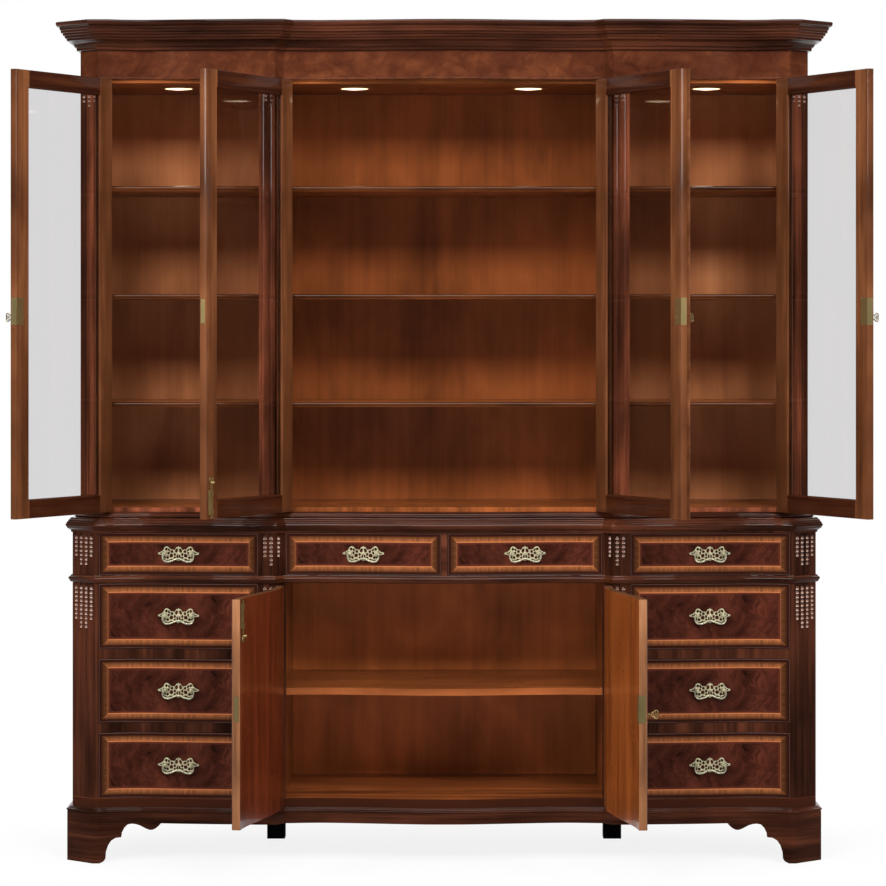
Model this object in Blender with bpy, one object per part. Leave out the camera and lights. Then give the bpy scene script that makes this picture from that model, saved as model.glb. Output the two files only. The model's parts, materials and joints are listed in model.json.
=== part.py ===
"""A mahogany china cabinet with its doors open: a glazed hutch on a serpentine base.

Lengths are in metres, with +Z up, the front towards -Y and +X to the viewer's right.
The parts are laid out with Y at 0 on the cabinet's back. At the end the whole cabinet
is moved so that its origin lies on the floor, under the middle of the box around it,
with the open doors included.
"""

import math

import bmesh
import bpy
import numpy as np
from mathutils import Matrix, Vector

# Clearances, and how far cuts and joined pieces run into their neighbours.
seat = 0.0003
joint_gap = 0.0015
cut_overrun = 0.006
embed = 0.004

# Heights of the base, stacked up from the floor.
plinth_board_height = 0.1445
plinth_moulding_height = 0.0135
bottom_rail_height = 0.027
bottom_drawer_height = 0.191
drawer_rail_height = 0.028
middle_drawer_height = 0.186
upper_drawer_height = 0.1905
middle_rail_height = 0.0225
top_drawer_height = 0.124
waist_height = 0.0425

# Heights of the hutch, stacked up from the waist.
sill_height = 0.016
hutch_floor_lip = 0.0125
hutch_inner_height = 1.236
door_head_height = 0.010
frieze_height = 0.084
cornice_height = 0.084

# Plan of the base.
base_depth = 0.545
base_half_width = 1.083
base_corner_x = 1.012
base_cant_depth = 0.058
side_drawer_outer_x = 1.002
base_side_thickness = 0.022
base_post_depth = 0.062
base_partition_x = 0.4625

# Plan of the hutch.
hutch_depth = 0.515
hutch_half_width = 1.062
hutch_corner_x = 1.006
hutch_cant_depth = 0.046
side_door_outer_x = 0.982
hutch_side_thickness = 0.030
hutch_post_depth = 0.052
hutch_partition_x = 0.470

# Shared by both plans: the inner pilasters and the set-back middle section.
pilaster_outer_x = 0.538
return_outer_x = 0.492
return_inner_x = 0.468
middle_opening_x = 0.4595
return_depth = 0.028
pilaster_depth = 0.060
partition_outer_x = 0.500
back_thickness = 0.012

# The serpentine front: how far it dips in the side sections and bows out in the middle.
side_hollow = 0.031
middle_bow = 0.026
side_hollow_shares = (
    (0.0, 0.0), (0.13, 0.17), (0.31, 0.36), (0.49, 0.62), (0.66, 0.94), (0.78, 1.0),
    (0.92, 0.76), (1.0, 0.39),
)
middle_bow_shares = (
    (0.0, -1.0), (0.12, -0.96), (0.3, -0.62), (0.5, -0.15), (0.65, 0.16), (0.8, 0.3), (1.0, 0.0),
)
curve_steps = 9

# Plinth, feet and rear blocks.
plinth_projection = 0.015
plinth_thickness = 0.022
apron_height = 0.0305
front_bracket_width = 0.197
side_bracket_width = 0.150
rear_block_width = 0.054
rear_block_x = 0.510
rear_block_back = 0.045

# Moulding projections beyond the case.
middle_moulding_projection = 0.008
waist_projection = 0.018
sill_projection = 0.012
floor_inset = 0.001
cornice_projection = 0.068

# Flutes of the posts and pilasters.
flute_width = 0.0085
flute_depth = 0.003
flute_steps = 3
base_post_flutes = 4
hutch_post_flutes = 3
pilaster_flutes = 2
return_flutes = 1

# Drawers.
drawer_front_thickness = 0.016
drawer_box_inset = 0.003
drawer_side_thickness = 0.011
drawer_bottom_rise = 0.008
drawer_bottom_thickness = 0.006
drawer_headroom = 0.010
drawer_back_room = 0.020
divider_thickness = 0.018

# Pulls.
plate_half_width = 0.061
plate_height = 0.043
plate_thickness = 0.0015
post_radius = 0.0045
post_length = 0.015
post_half_spacing = 0.038
post_height_share = 0.56
bail_radius = 0.0022
bail_standoff = 0.0105
bail_half_width = 0.046
bail_drop = 0.0245
pull_rise = 0.001

# Shelves.
shelf_thickness = 0.013
shelf_levels = 3
shelf_pitch = 0.315
first_shelf_height = 0.306
shelf_front_room = 0.006
cupboard_shelf_height = 0.299
cupboard_shelf_thickness = 0.020
cupboard_shelf_front_room = 0.004

# Glazed doors.
hutch_door_thickness = 0.021
door_stile = 0.058
door_top_rail = 0.050
door_bottom_rail = 0.053
glass_thickness = 0.004
glass_rebate = 0.009
rebate_depth = 0.011
astragal_width = 0.020
astragal_overlap = 0.009
astragal_thickness = 0.004
far_left_door_open = math.radians(121)
middle_left_door_open = math.radians(119)
middle_right_door_open = math.radians(118.5)
far_right_door_open = math.radians(119)

# Cupboard doors, which lie over the front of the case, with edges mitred to the returns.
cupboard_door_thickness = 0.022
cupboard_door_clearance = 0.0006
cupboard_door_foot_room = 0.0115
cupboard_door_head_room = 0.0055
cupboard_pin_reach = 0.0024
left_cupboard_door_open = math.radians(98.8)
right_cupboard_door_open = math.radians(95.7)

# Hinges: barrels on the doors' edges. Those of the hutch lie in a quirk down the post.
barrel_radius = 0.0042
cupboard_barrel_radius = 0.0035
hutch_hinge_height = 0.075
cupboard_hinge_height = 0.110
hutch_hinge_shares = (0.06, 0.5, 0.94)
cupboard_hinge_shares = (0.19, 0.84)

# Keys, keyholes and surface bolts.
key_hole_radius = 0.0025
key_shank_radius = 0.0021
key_reach = 0.012
key_length = 0.018
bow_radius = 0.0105
bow_wire = 0.0019
collar_radius = 0.0042
collar_length = 0.004
hutch_key_height = 0.563
cupboard_key_height = 0.315
lock_inset = 0.026
bolt_width = 0.0075
bolt_thickness = 0.003
bolt_length = 0.113
bolt_clearance = 0.0004
bolt_inset = 0.022
bolt_throw = 0.012
bolt_setback = 0.002
case_inset = 0.0125
case_length = 0.069
case_width = 0.012
case_reach = 0.007
flange_width = 0.021
flange_thickness = 0.0015
grip_width = 0.018
grip_length = 0.010

# Downlights.
light_radius = 0.044
light_rim = 0.003
middle_light_x = 0.250
side_light_x = 0.768
light_depth_share = 0.42

# Levels worked out from the stacked heights.
plinth_top = plinth_board_height + plinth_moulding_height
cupboard_floor = plinth_top + bottom_rail_height
lower_rail_bottom = cupboard_floor + bottom_drawer_height
lower_rail_top = lower_rail_bottom + drawer_rail_height
upper_rail_bottom = lower_rail_top + middle_drawer_height
upper_rail_top = upper_rail_bottom + drawer_rail_height
middle_rail_bottom = upper_rail_top + upper_drawer_height
middle_rail_top = middle_rail_bottom + middle_rail_height
waist_bottom = middle_rail_top + top_drawer_height
waist_top = waist_bottom + waist_height
sill_top = waist_top + sill_height
hutch_floor = sill_top + hutch_floor_lip
hutch_ceiling = hutch_floor + hutch_inner_height
door_head = hutch_ceiling + door_head_height
frieze_top = door_head + frieze_height
cabinet_height = frieze_top + cornice_height

root = None
parts = None
cutters = None


def smooth_share(shares, place):
    """Reads a table of shares at a place, along a smooth curve through its points."""
    xs = [x for x, _ in shares]
    ys = [y for _, y in shares]
    slopes = []
    for i in range(len(xs)):
        low, high = max(i - 1, 0), min(i + 1, len(xs) - 1)
        slopes.append((ys[high] - ys[low]) / (xs[high] - xs[low]))
    i = min(max(int(np.searchsorted(xs, place, side="right")) - 1, 0), len(xs) - 2)
    width = xs[i + 1] - xs[i]
    t = (place - xs[i]) / width
    return (
        (1 + 2 * t) * (1 - t) ** 2 * ys[i] + t * (1 - t) ** 2 * width * slopes[i]
        + t * t * (3 - 2 * t) * ys[i + 1] + t * t * (t - 1) * width * slopes[i + 1]
    )


class Plan:
    """A case seen from above: a serpentine front between canted corners."""

    def __init__(
        self, depth, half_width, corner_x, cant_depth, opening_x, inner_x, post_depth, partition_x
    ):
        self.depth = depth
        self.half_width = half_width
        self.corner_x = corner_x
        self.cant_depth = cant_depth
        self.opening_x = opening_x
        self.inner_x = inner_x
        self.partition_x = partition_x
        self.post_back = self.front(corner_x) + cant_depth / 2 + post_depth
        self.pilaster_back = self.front(return_outer_x) + pilaster_depth

    def recess(self, x):
        """How far the front lies behind its most forward line, at a distance x from the middle."""
        x = abs(x)
        if x < middle_opening_x:
            return return_depth + middle_bow * smooth_share(middle_bow_shares, x / middle_opening_x)
        if x <= return_inner_x:
            return return_depth
        if x < return_outer_x:
            return return_depth * (return_outer_x - x) / (return_outer_x - return_inner_x)
        share = (x - pilaster_outer_x) / (self.opening_x - pilaster_outer_x)
        return side_hollow * smooth_share(side_hollow_shares, min(max(share, 0), 1))

    def front(self, x):
        """The front's Y at a distance x from the middle."""
        return self.recess(x) - self.depth

    def span(self, low, high, steps=curve_steps):
        """Points along the front from one X to another."""
        return [(x, self.front(x)) for x in np.linspace(low, high, steps + 1)]

    def half_path(self):
        """The right half of the outline, from the middle of the front to the back."""
        middle = self.span(0, middle_opening_x) + [(return_inner_x, self.front(return_inner_x))]
        side = self.span(pilaster_outer_x, self.opening_x)
        corner_y = self.front(self.corner_x)
        return (
            middle + [(return_outer_x, self.front(return_outer_x))] + side
            + [(self.corner_x, corner_y), (self.half_width, corner_y + self.cant_depth),
               (self.half_width, 0)]
        )

    def path(self):
        """The whole outline, from the left end of the back round the front to the right end."""
        half = self.half_path()
        return [(-x, y) for x, y in reversed(half[1:])] + half

    def side_bay(self, front, inner_room, outer_room):
        """The outline of a board in the right bay, fitted round the pilaster and the post."""
        back = -back_thickness - seat
        panel = partition_outer_x
        return front + [
            (self.opening_x - outer_room, self.post_back + seat),
            (self.inner_x - outer_room, self.post_back + seat),
            (self.inner_x - outer_room, back), (panel + inner_room, back),
            (panel + inner_room, self.pilaster_back + inner_room),
            (pilaster_outer_x + inner_room, self.pilaster_back + inner_room),
        ]

    def middle_bay(self, front, room):
        """The outline of a board in the middle bay, fitted between the pilasters and partitions."""
        back = -back_thickness - seat
        right = [
            (middle_opening_x - room, self.pilaster_back + room),
            (self.partition_x - room, self.pilaster_back + room + embed),
            (self.partition_x - room, back),
        ]
        return front + right + [(-x, y) for x, y in reversed(right)]


base_plan = Plan(
    base_depth, base_half_width, base_corner_x, base_cant_depth, side_drawer_outer_x,
    base_half_width - base_side_thickness, base_post_depth, base_partition_x,
)
hutch_plan = Plan(
    hutch_depth, hutch_half_width, hutch_corner_x, hutch_cant_depth, side_door_outer_x,
    hutch_half_width - hutch_side_thickness, hutch_post_depth, hutch_partition_x,
)


def offset_path(path, distance):
    """Moves an open path outwards, to the right of its direction, with mitred corners."""
    points = [Vector(p) for p in path]
    normals = []
    for a, b in zip(points, points[1:]):
        along = (b - a).normalized()
        normals.append(Vector((along.y, -along.x)))
    moved = []
    for i, point in enumerate(points):
        before = normals[max(i - 1, 0)]
        after = normals[min(i, len(normals) - 1)]
        mitre = (before + after).normalized()
        moved.append(tuple(point + mitre * distance / mitre.dot(before)))
    return moved


def material(name, colour, roughness, metallic=0.0, alpha=1.0):
    """A Principled BSDF material, made once."""
    found = bpy.data.materials.get(name)
    if found:
        return found
    made = bpy.data.materials.new(name)
    made.use_nodes = True
    shader = made.node_tree.nodes["Principled BSDF"]
    shader.inputs["Base Color"].default_value = (*colour, 1)
    shader.inputs["Roughness"].default_value = roughness
    shader.inputs["Metallic"].default_value = metallic
    shader.inputs["Alpha"].default_value = alpha
    made.diffuse_color = (*colour, alpha)
    return made


def mahogany():
    return material("mahogany", (0.16, 0.045, 0.02), 0.25)


def dark_mahogany():
    return material("dark_mahogany", (0.06, 0.017, 0.009), 0.25)


def plain_wood():
    return material("plain_brown_wood", (0.20, 0.075, 0.03), 0.4)


def brass():
    return material("antique_brass", (0.55, 0.42, 0.18), 0.3, metallic=1.0)


def clear_glass():
    return material("clear_glass", (0.9, 0.95, 0.95), 0.03, alpha=0.3)


def place(mesh, name, finish, parent=None, location=(0, 0, 0), turn=0.0):
    """Puts a mesh into the cabinet as a part, at a place under its parent."""
    part = bpy.data.objects.new(name, mesh)
    parts.objects.link(part)
    part.data.materials.append(finish)
    part.parent = parent or root
    part.location = location
    part.rotation_euler = (0, 0, turn)
    return part


def mesh_from(bm, name):
    """Turns a bmesh into a mesh whose faces point outwards."""
    bmesh.ops.recalc_face_normals(bm, faces=bm.faces)
    mesh = bpy.data.meshes.new(name)
    bm.to_mesh(mesh)
    bm.free()
    return mesh


def box(name, low, high):
    """A box between two corners."""
    bm = bmesh.new()
    bmesh.ops.create_cube(bm, size=1)
    low, high = Vector(low), Vector(high)
    size = high - low
    bmesh.ops.scale(bm, vec=size, verts=bm.verts)
    bmesh.ops.translate(bm, vec=(low + high) / 2, verts=bm.verts)
    return mesh_from(bm, name)


def slab(name, outline, low, high, upright=False):
    """A flat outline given thickness: along Z, or towards the front if it stands upright."""
    curve = bpy.data.curves.new(name, "CURVE")
    curve.dimensions = "2D"
    curve.fill_mode = "BOTH"
    curve.extrude = (high - low) / 2
    spline = curve.splines.new("POLY")
    spline.points.add(len(outline) - 1)
    for point, (x, y) in zip(spline.points, outline):
        point.co = (x, y, 0, 1)
    spline.use_cyclic_u = True
    guide = bpy.data.objects.new(name, curve)
    cutters.objects.link(guide)
    mesh = bpy.data.meshes.new_from_object(guide.evaluated_get(bpy.context.evaluated_depsgraph_get()))
    bpy.data.objects.remove(guide)
    mesh.transform(Matrix.Translation((0, 0, (low + high) / 2)))
    if upright:
        mesh.transform(Matrix.Rotation(math.radians(90), 4, "X"))
    bm = bmesh.new()
    bm.from_mesh(mesh)
    bmesh.ops.remove_doubles(bm, verts=bm.verts, dist=seat / 10)
    bpy.data.meshes.remove(mesh)
    return mesh_from(bm, name)


def rod(name, radius, start, end, sides):
    """A round rod between two points."""
    start, end = Vector(start), Vector(end)
    bm = bmesh.new()
    length = (end - start).length
    bmesh.ops.create_cone(
        bm, cap_ends=True, segments=sides, radius1=radius, radius2=radius, depth=length
    )
    turn = Vector((0, 0, 1)).rotation_difference(end - start).to_matrix().to_4x4()
    bm.transform(Matrix.Translation((start + end) / 2) @ turn)
    return mesh_from(bm, name)


def loft(name, rings):
    """A closed body through rings of points that lie one above or inside another."""
    bm = bmesh.new()
    levels = [[bm.verts.new(point) for point in ring] for ring in rings]
    for lower, upper in zip(levels, levels[1:]):
        for i in range(len(lower)):
            j = (i + 1) % len(lower)
            bm.faces.new((lower[i], lower[j], upper[j], upper[i]))
    bm.faces.new(levels[0])
    bm.faces.new(levels[-1])
    return mesh_from(bm, name)


def moulded_board(name, path, profile):
    """A board whose edge follows a path: each profile point is a projection and a height."""
    rings = []
    for projection, height in profile:
        rings.append([(x, y, height) for x, y in offset_path(path, projection)])
    return loft(name, rings)


def moulded_band(name, path, inner, profile):
    """A strip that follows a path, with a moulded outer face and a plain inner one."""
    inside = list(reversed(offset_path(path, inner)))
    rings = []
    for projection, height in profile:
        rings.append([(x, y, height) for x, y in offset_path(path, projection) + inside])
    return loft(name, rings)


def boolean(part, mesh, operation):
    """Cuts a mesh from a part, or joins it to the part, and keeps the mesh as a hidden guide."""
    guide = bpy.data.objects.new(f"{part.name}_{operation.lower()}_{len(part.modifiers)}", mesh)
    cutters.objects.link(guide)
    guide.parent = part
    guide.hide_render = True
    guide.display_type = "WIRE"
    step = part.modifiers.new(guide.name, "BOOLEAN")
    step.operation = operation
    step.solver = "EXACT"
    step.object = guide


def cut(part, mesh):
    boolean(part, mesh, "DIFFERENCE")


def join(part, mesh):
    boolean(part, mesh, "UNION")


def mirrored(outline, side):
    """An outline drawn for the right side, turned over for the left one."""
    if side > 0:
        return list(outline)
    return [(-x, y) for x, y in reversed(outline)]


def fluted_line(start, end, flutes):
    """Points after the start of a line, with evenly spread hollow flutes cut to its left."""
    start, end = Vector(start), Vector(end)
    along = (end - start).normalized()
    inward = Vector((-along.y, along.x))
    pitch = (end - start).length / flutes
    points = []
    for i in range(flutes):
        centre = start + along * pitch * (i + 0.5)
        for angle in np.linspace(0, math.pi, flute_steps + 2):
            across = -math.cos(angle) * flute_width / 2
            depth = math.sin(angle) * flute_depth
            points.append(tuple(centre + along * across + inward * depth))
    return points


def post_outline(plan, flutes, quirk):
    """A side panel with its canted corner post, for the right side."""
    edge = plan.opening_x
    corner = (plan.corner_x, plan.front(plan.corner_x))
    shoulder = (plan.half_width, corner[1] + plan.cant_depth)
    start = [(edge, corner[1])]
    if quirk:
        start = [(edge, corner[1] + quirk), (edge + quirk, corner[1] + quirk),
                 (edge + quirk, corner[1])]
    return (
        start + [corner] + fluted_line(corner, shoulder, flutes)
        + [shoulder, (plan.half_width, 0), (plan.inner_x, 0), (plan.inner_x, plan.post_back),
           (edge, plan.post_back)]
    )


def pilaster_outline(plan, quirk):
    """A partition with its pilaster: front face and canted return, for the right side."""
    strip_y = plan.front(return_inner_x)
    inner = (return_inner_x, strip_y)
    outer = (return_outer_x, plan.front(return_outer_x))
    edge = (pilaster_outer_x, plan.front(return_outer_x))
    panel = partition_outer_x
    back = -back_thickness - seat
    quirk_x = middle_opening_x + quirk
    start = [(middle_opening_x, strip_y)]
    if quirk:
        start = [(middle_opening_x, strip_y + quirk), (quirk_x, strip_y + quirk), (quirk_x, strip_y)]
    return (
        start + [inner] + fluted_line(inner, outer, return_flutes) + [outer]
        + fluted_line(outer, edge, pilaster_flutes)
        + [edge, (pilaster_outer_x, plan.pilaster_back), (panel, plan.pilaster_back), (panel, back),
           (plan.partition_x, back), (plan.partition_x, plan.pilaster_back),
           (middle_opening_x, plan.pilaster_back)]
    )


def hinge_quirk():
    """The width and depth of the corner that the hinge barrels lie in."""
    return barrel_radius + seat


def bracket_shares():
    """The bracket's edge: shares of its width from the foot, and of the apron's level."""
    return (
        (0.09, 0.0), (0.13, 0.04), (0.165, 0.14), (0.17, 0.28), (0.2, 0.44), (0.25, 0.56),
        (0.32, 0.63), (0.405, 0.645), (0.415, 0.76), (0.45, 0.88), (0.50, 0.965), (0.56, 0.985),
        (0.62, 0.975), (0.69, 0.94), (0.77, 0.87), (0.83, 0.83), (0.88, 0.83), (0.93, 0.87),
        (0.97, 0.93), (1.0, 1.0),
    )


def bracket_cutter(name, foot_low, foot_high, width):
    """The outline cut away between two bracket feet, closed below the floor."""
    apron = plinth_board_height - apron_height
    low = [(foot_low + across * width, up * apron) for across, up in bracket_shares()]
    high = [(foot_high - across * width, up * apron) for across, up in reversed(bracket_shares())]
    below = -cut_overrun
    return [(low[0][0], below)] + low + high + [(high[-1][0], below)]


def make_plinth():
    """The plinth: a band with a moulded top, cut away between its bracket feet."""
    profile = (
        (plinth_projection, 0),
        (plinth_projection, plinth_board_height),
        (plinth_projection * 0.9, plinth_board_height + plinth_moulding_height * 0.45),
        (plinth_projection * 0.6, plinth_board_height + plinth_moulding_height * 0.8),
        (plinth_projection * 0.2, plinth_top),
    )
    path = base_plan.path()
    inner = plinth_projection - plinth_thickness
    part = place(moulded_band("plinth", path, inner, profile), "plinth_with_bracket_feet", mahogany())
    corner = offset_path(base_plan.half_path(), plinth_projection)[-3]
    shoulder = offset_path(base_plan.half_path(), plinth_projection)[-2]
    front = bracket_cutter("front", -corner[0], corner[0], front_bracket_width)
    front_low = base_depth + plinth_projection + cut_overrun
    front_high = base_depth - side_hollow - return_depth - plinth_thickness
    cut(part, slab("front_bracket", front, front_high, front_low, upright=True))
    side = bracket_cutter("side", shoulder[1], 0, side_bracket_width)
    reach = shoulder[0] + cut_overrun
    side_cutter = slab("side_bracket", side, -reach, reach, upright=True)
    side_cutter.transform(Matrix.Rotation(math.radians(90), 4, "Z"))
    cut(part, side_cutter)


def make_bottom():
    """The bottom board, with the blocks that hold up its rear."""
    low, high = plinth_top + seat, cupboard_floor
    part = place(
        moulded_board("bottom", base_plan.path(), ((0, low), (0, high))), "bottom_board", mahogany()
    )
    for side in (-1, 1):
        x = side * rear_block_x
        join(part, box(
            "block", (x - rear_block_width / 2, -rear_block_back - rear_block_width, 0),
            (x + rear_block_width / 2, -rear_block_back, low + embed),
        ))


def side_board(inner_room, z_low, z_high, side, bow=0.0):
    """A board behind the serpentine front in a side column of the base."""
    ends = base_plan.span(pilaster_outer_x + inner_room, side_drawer_outer_x - seat)
    front = [(x, y - bow) for x, y in ends]
    outline = base_plan.side_bay(front, inner_room, seat)
    return slab("board", mirrored(outline, side), z_low, z_high)


def make_base_case():
    """The base's sides, partitions with the side columns' dust boards, and back."""
    low, high = cupboard_floor + seat, waist_bottom - seat
    for side, word in ((-1, "left"), (1, "right")):
        outline = post_outline(base_plan, base_post_flutes, 0)
        place(slab("side", mirrored(outline, side), low, high), f"base_side_{word}", mahogany())
        outline = pilaster_outline(base_plan, 0)
        part = place(
            slab("partition", mirrored(outline, side), low, high), f"base_partition_{word}", mahogany()
        )
        join(part, side_board(-embed, lower_rail_bottom, lower_rail_top, side))
        join(part, side_board(-embed, upper_rail_bottom, upper_rail_top, side))
    inner = base_half_width - base_side_thickness - seat
    place(box("back", (-inner, -back_thickness, low), (inner, 0, high)), "base_back", plain_wood())


def make_middle_rail():
    """The moulding under the top drawers, with the boards behind it and the middle divider."""
    low, high = middle_rail_bottom, middle_rail_top
    nose = middle_moulding_projection
    rise = high - low
    profile = (
        (nose * 0.45, low + rise * 0.1), (nose, low + rise * 0.4),
        (nose, low + rise * 0.75), (nose * 0.4, high),
    )
    strip = moulded_band("strip", base_plan.path(), seat, profile)
    part = place(strip, "middle_rail", mahogany())
    bow = nose * 0.2
    for side in (-1, 1):
        join(part, side_board(seat, low, high - seat, side, bow))
    edge = middle_opening_x - seat
    front = [(x, y - bow) for x, y in base_plan.span(-edge, edge, curve_steps * 2)]
    join(part, slab("board", base_plan.middle_bay(front, seat), low, high - seat))
    half = divider_thickness / 2
    join(part, box(
        "divider", (-half, base_plan.front(half) + joint_gap, high - embed),
        (half, -back_thickness - 2 * seat, waist_bottom - seat),
    ))
    x = -joint_gap / 2 - bolt_inset
    y = max(cupboard_face(x - case_width, 0), cupboard_face(x + case_width, 0)) + bolt_lift()
    cut(part, strike_hole(x, y, low - cut_overrun, low + bolt_throw, 0))


def make_base_top():
    """The board over the drawers, with the waist moulding round its edge."""
    low, high = waist_bottom, waist_top - seat
    rise = high - low
    profile = [
        (waist_projection * out, low + rise * up) for out, up in (
            (0.2, 0), (0.25, 0.14), (0.5, 0.24), (0.95, 0.42), (1.0, 0.56), (0.78, 0.72),
            (0.55, 0.86), (0.2, 1.0),
        )
    ]
    place(moulded_board("top", base_plan.path(), profile), "base_top_with_waist_moulding", mahogany())


def make_cupboard_shelf():
    """The shelf of the middle cupboard."""
    low = cupboard_floor + cupboard_shelf_height
    edge = middle_opening_x - seat
    ends = base_plan.span(-edge, edge, curve_steps * 2)
    front = [(x, y + cupboard_shelf_front_room) for x, y in ends]
    outline = base_plan.middle_bay(front, seat)
    place(
        slab("shelf", outline, low, low + cupboard_shelf_thickness), "cupboard_shelf", plain_wood()
    )


def pull_outline():
    """The pierced plate's outer edge: peaks above, pointed ends and a scalloped foot."""
    half_shares = (
        (0.0, 1.0), (0.12, 0.88), (0.26, 0.72), (0.42, 0.86), (0.58, 1.0), (0.72, 0.82),
        (0.8, 0.6), (1.0, 0.48), (0.84, 0.36), (0.74, 0.14), (0.55, 0.0), (0.36, 0.12),
        (0.18, 0.02), (0.0, 0.06),
    )
    right = [(x * plate_half_width, (y - 0.5) * plate_height) for x, y in half_shares]
    return right + [(-x, y) for x, y in reversed(right[1:-1])]


def pull_frame(x, z):
    """Where a pull sits on the serpentine front, and how far it turns to lie along it."""
    reach = post_half_spacing
    slope = (base_plan.front(x + reach) - base_plan.front(x - reach)) / (2 * reach)
    return Vector((x, base_plan.front(x), z)), math.atan(slope)


def pivot_rise():
    """The bail's pivot above the plate's middle."""
    return (post_height_share - 0.5) * plate_height


def make_bail(name, drawer, centre, turn):
    """A swan-neck bail that hangs from the posts, drawn as one bent wire."""
    inner = post_half_spacing + post_radius + seat
    half_points = (
        (inner, 0.0), (bail_half_width * 0.985, 0.0),
        (bail_half_width, -bail_drop * 0.3), (bail_half_width * 0.97, -bail_drop * 0.62),
        (bail_half_width * 0.86, -bail_drop * 0.9), (bail_half_width * 0.66, -bail_drop),
        (bail_half_width * 0.4, -bail_drop * 0.93), (bail_half_width * 0.18, -bail_drop * 0.74),
    )
    points = [(-x, z) for x, z in half_points] + [(0.0, -bail_drop * 0.68)]
    points += list(reversed(half_points))
    curve = bpy.data.curves.new(name, "CURVE")
    curve.dimensions = "3D"
    curve.bevel_depth = bail_radius
    curve.bevel_resolution = 1
    curve.use_fill_caps = True
    spline = curve.splines.new("POLY")
    spline.points.add(len(points) - 1)
    for point, (x, z) in zip(spline.points, points):
        point.co = (x, 0, z, 1)
    bail = place(curve, name, brass(), parent=drawer, turn=turn)
    outwards = Vector((math.sin(turn), -math.cos(turn), 0))
    bail.location = centre + outwards * bail_standoff + Vector((0, 0, pivot_rise()))


def make_drawer(name, x_low, x_high, z_low, z_high):
    """A drawer: a serpentine front, a box open at the top, and a pull with its bail."""
    left, right = x_low + joint_gap, x_high - joint_gap
    back_of_front = return_depth + side_hollow / 2 - base_depth + drawer_front_thickness
    outline = base_plan.span(left, right) + [(right, back_of_front), (left, back_of_front)]
    part = place(
        slab("front", outline, z_low + joint_gap, z_high - joint_gap), name, dark_mahogany()
    )
    box_left, box_right = left + drawer_box_inset, right - drawer_box_inset
    box_back = -back_thickness - drawer_back_room
    floor = z_low + seat
    rim = z_high - drawer_headroom
    join(part, box("box", (box_left, back_of_front - embed, floor), (box_right, box_back, rim)))
    wall = drawer_side_thickness
    cut(part, box(
        "inside", (box_left + wall, back_of_front, floor + drawer_bottom_rise + drawer_bottom_thickness),
        (box_right - wall, box_back - wall, rim + cut_overrun),
    ))
    cut(part, box(
        "under", (box_left + wall, back_of_front, floor - cut_overrun),
        (box_right - wall, box_back - wall, floor + drawer_bottom_rise),
    ))
    middle = (x_low + x_high) / 2
    centre, turn = pull_frame(middle, (z_low + z_high) / 2 + pull_rise)
    frame = Matrix.Translation(centre) @ Matrix.Rotation(turn, 4, "Z")
    plate = slab("plate", pull_outline(), -embed, plate_thickness, upright=True)
    plate.transform(frame)
    join(part, plate)
    for x in (-post_half_spacing, post_half_spacing):
        post = rod("post", post_radius, (x, embed, pivot_rise()), (x, -post_length, pivot_rise()), 8)
        post.transform(frame)
        join(part, post)
    make_bail(f"{name}_bail", part, centre, turn)


def make_drawers():
    """Ten drawers: four in the top row and three below in each side column."""
    half = divider_thickness / 2
    top = (middle_rail_top, waist_bottom)
    for side, word in ((-1, "left"), (1, "right")):
        column = sorted((side * pilaster_outer_x, side * side_drawer_outer_x))
        middle = sorted((side * half, side * middle_opening_x))
        make_drawer(f"top_drawer_{word}", *column, *top)
        make_drawer(f"top_drawer_middle_{word}", *middle, *top)
        make_drawer(f"upper_drawer_{word}", *column, upper_rail_top, middle_rail_bottom)
        make_drawer(f"middle_drawer_{word}", *column, lower_rail_top, upper_rail_bottom)
        make_drawer(f"bottom_drawer_{word}", *column, cupboard_floor, lower_rail_bottom)


def make_hutch_case():
    """The hutch's floor with its base moulding, joined to its sides and corner posts."""
    rise = sill_height
    profile = (
        (sill_projection, waist_top), (sill_projection, waist_top + rise * 0.4),
        (sill_projection * 0.5, waist_top + rise * 0.7), (-floor_inset, sill_top),
        (-floor_inset, hutch_floor),
    )
    path = [(x, min(y, -floor_inset)) for x, y in hutch_plan.path()]
    part = place(moulded_board("floor", path, profile), "hutch_case", mahogany())
    for x_low, x_high, face in door_bays():
        if x_high == side_door_outer_x:
            x_high += embed
        if x_low == -side_door_outer_x:
            x_low -= embed
        cut(part, box(
            "notch", (x_low, -hutch_depth - cut_overrun, sill_top),
            (x_high, face + hutch_door_thickness + joint_gap, hutch_floor + cut_overrun),
        ))
    outline = post_outline(hutch_plan, hutch_post_flutes, hinge_quirk())
    for side in (-1, 1):
        join(part, slab("side", mirrored(outline, side), sill_top - embed, hutch_ceiling - seat))
    x = -joint_gap / 2 - bolt_inset
    y = hutch_plan.front(return_inner_x) + hutch_door_thickness + bolt_lift()
    cut(part, strike_hole(x, y, sill_top - bolt_throw, hutch_floor + cut_overrun, embed))


def door_bays():
    """The three openings of the hutch's front: low X, high X and the doors' outer face."""
    side_face = hutch_plan.front(hutch_corner_x)
    middle_face = hutch_plan.front(return_inner_x)
    return (
        (-side_door_outer_x, -pilaster_outer_x, side_face),
        (-middle_opening_x, middle_opening_x, middle_face),
        (pilaster_outer_x, side_door_outer_x, side_face),
    )


def make_hutch_partitions():
    """The hutch's two partitions with their pilasters, and its back."""
    low, high = hutch_floor + seat, hutch_ceiling - seat
    for side, word in ((-1, "left"), (1, "right")):
        outline = pilaster_outline(hutch_plan, hinge_quirk())
        place(slab("partition", mirrored(outline, side), low, high), f"hutch_partition_{word}", mahogany())
    inner = hutch_half_width - hutch_side_thickness - seat
    place(box("back", (-inner, -back_thickness, low), (inner, 0, high)), "hutch_back", plain_wood())


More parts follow.
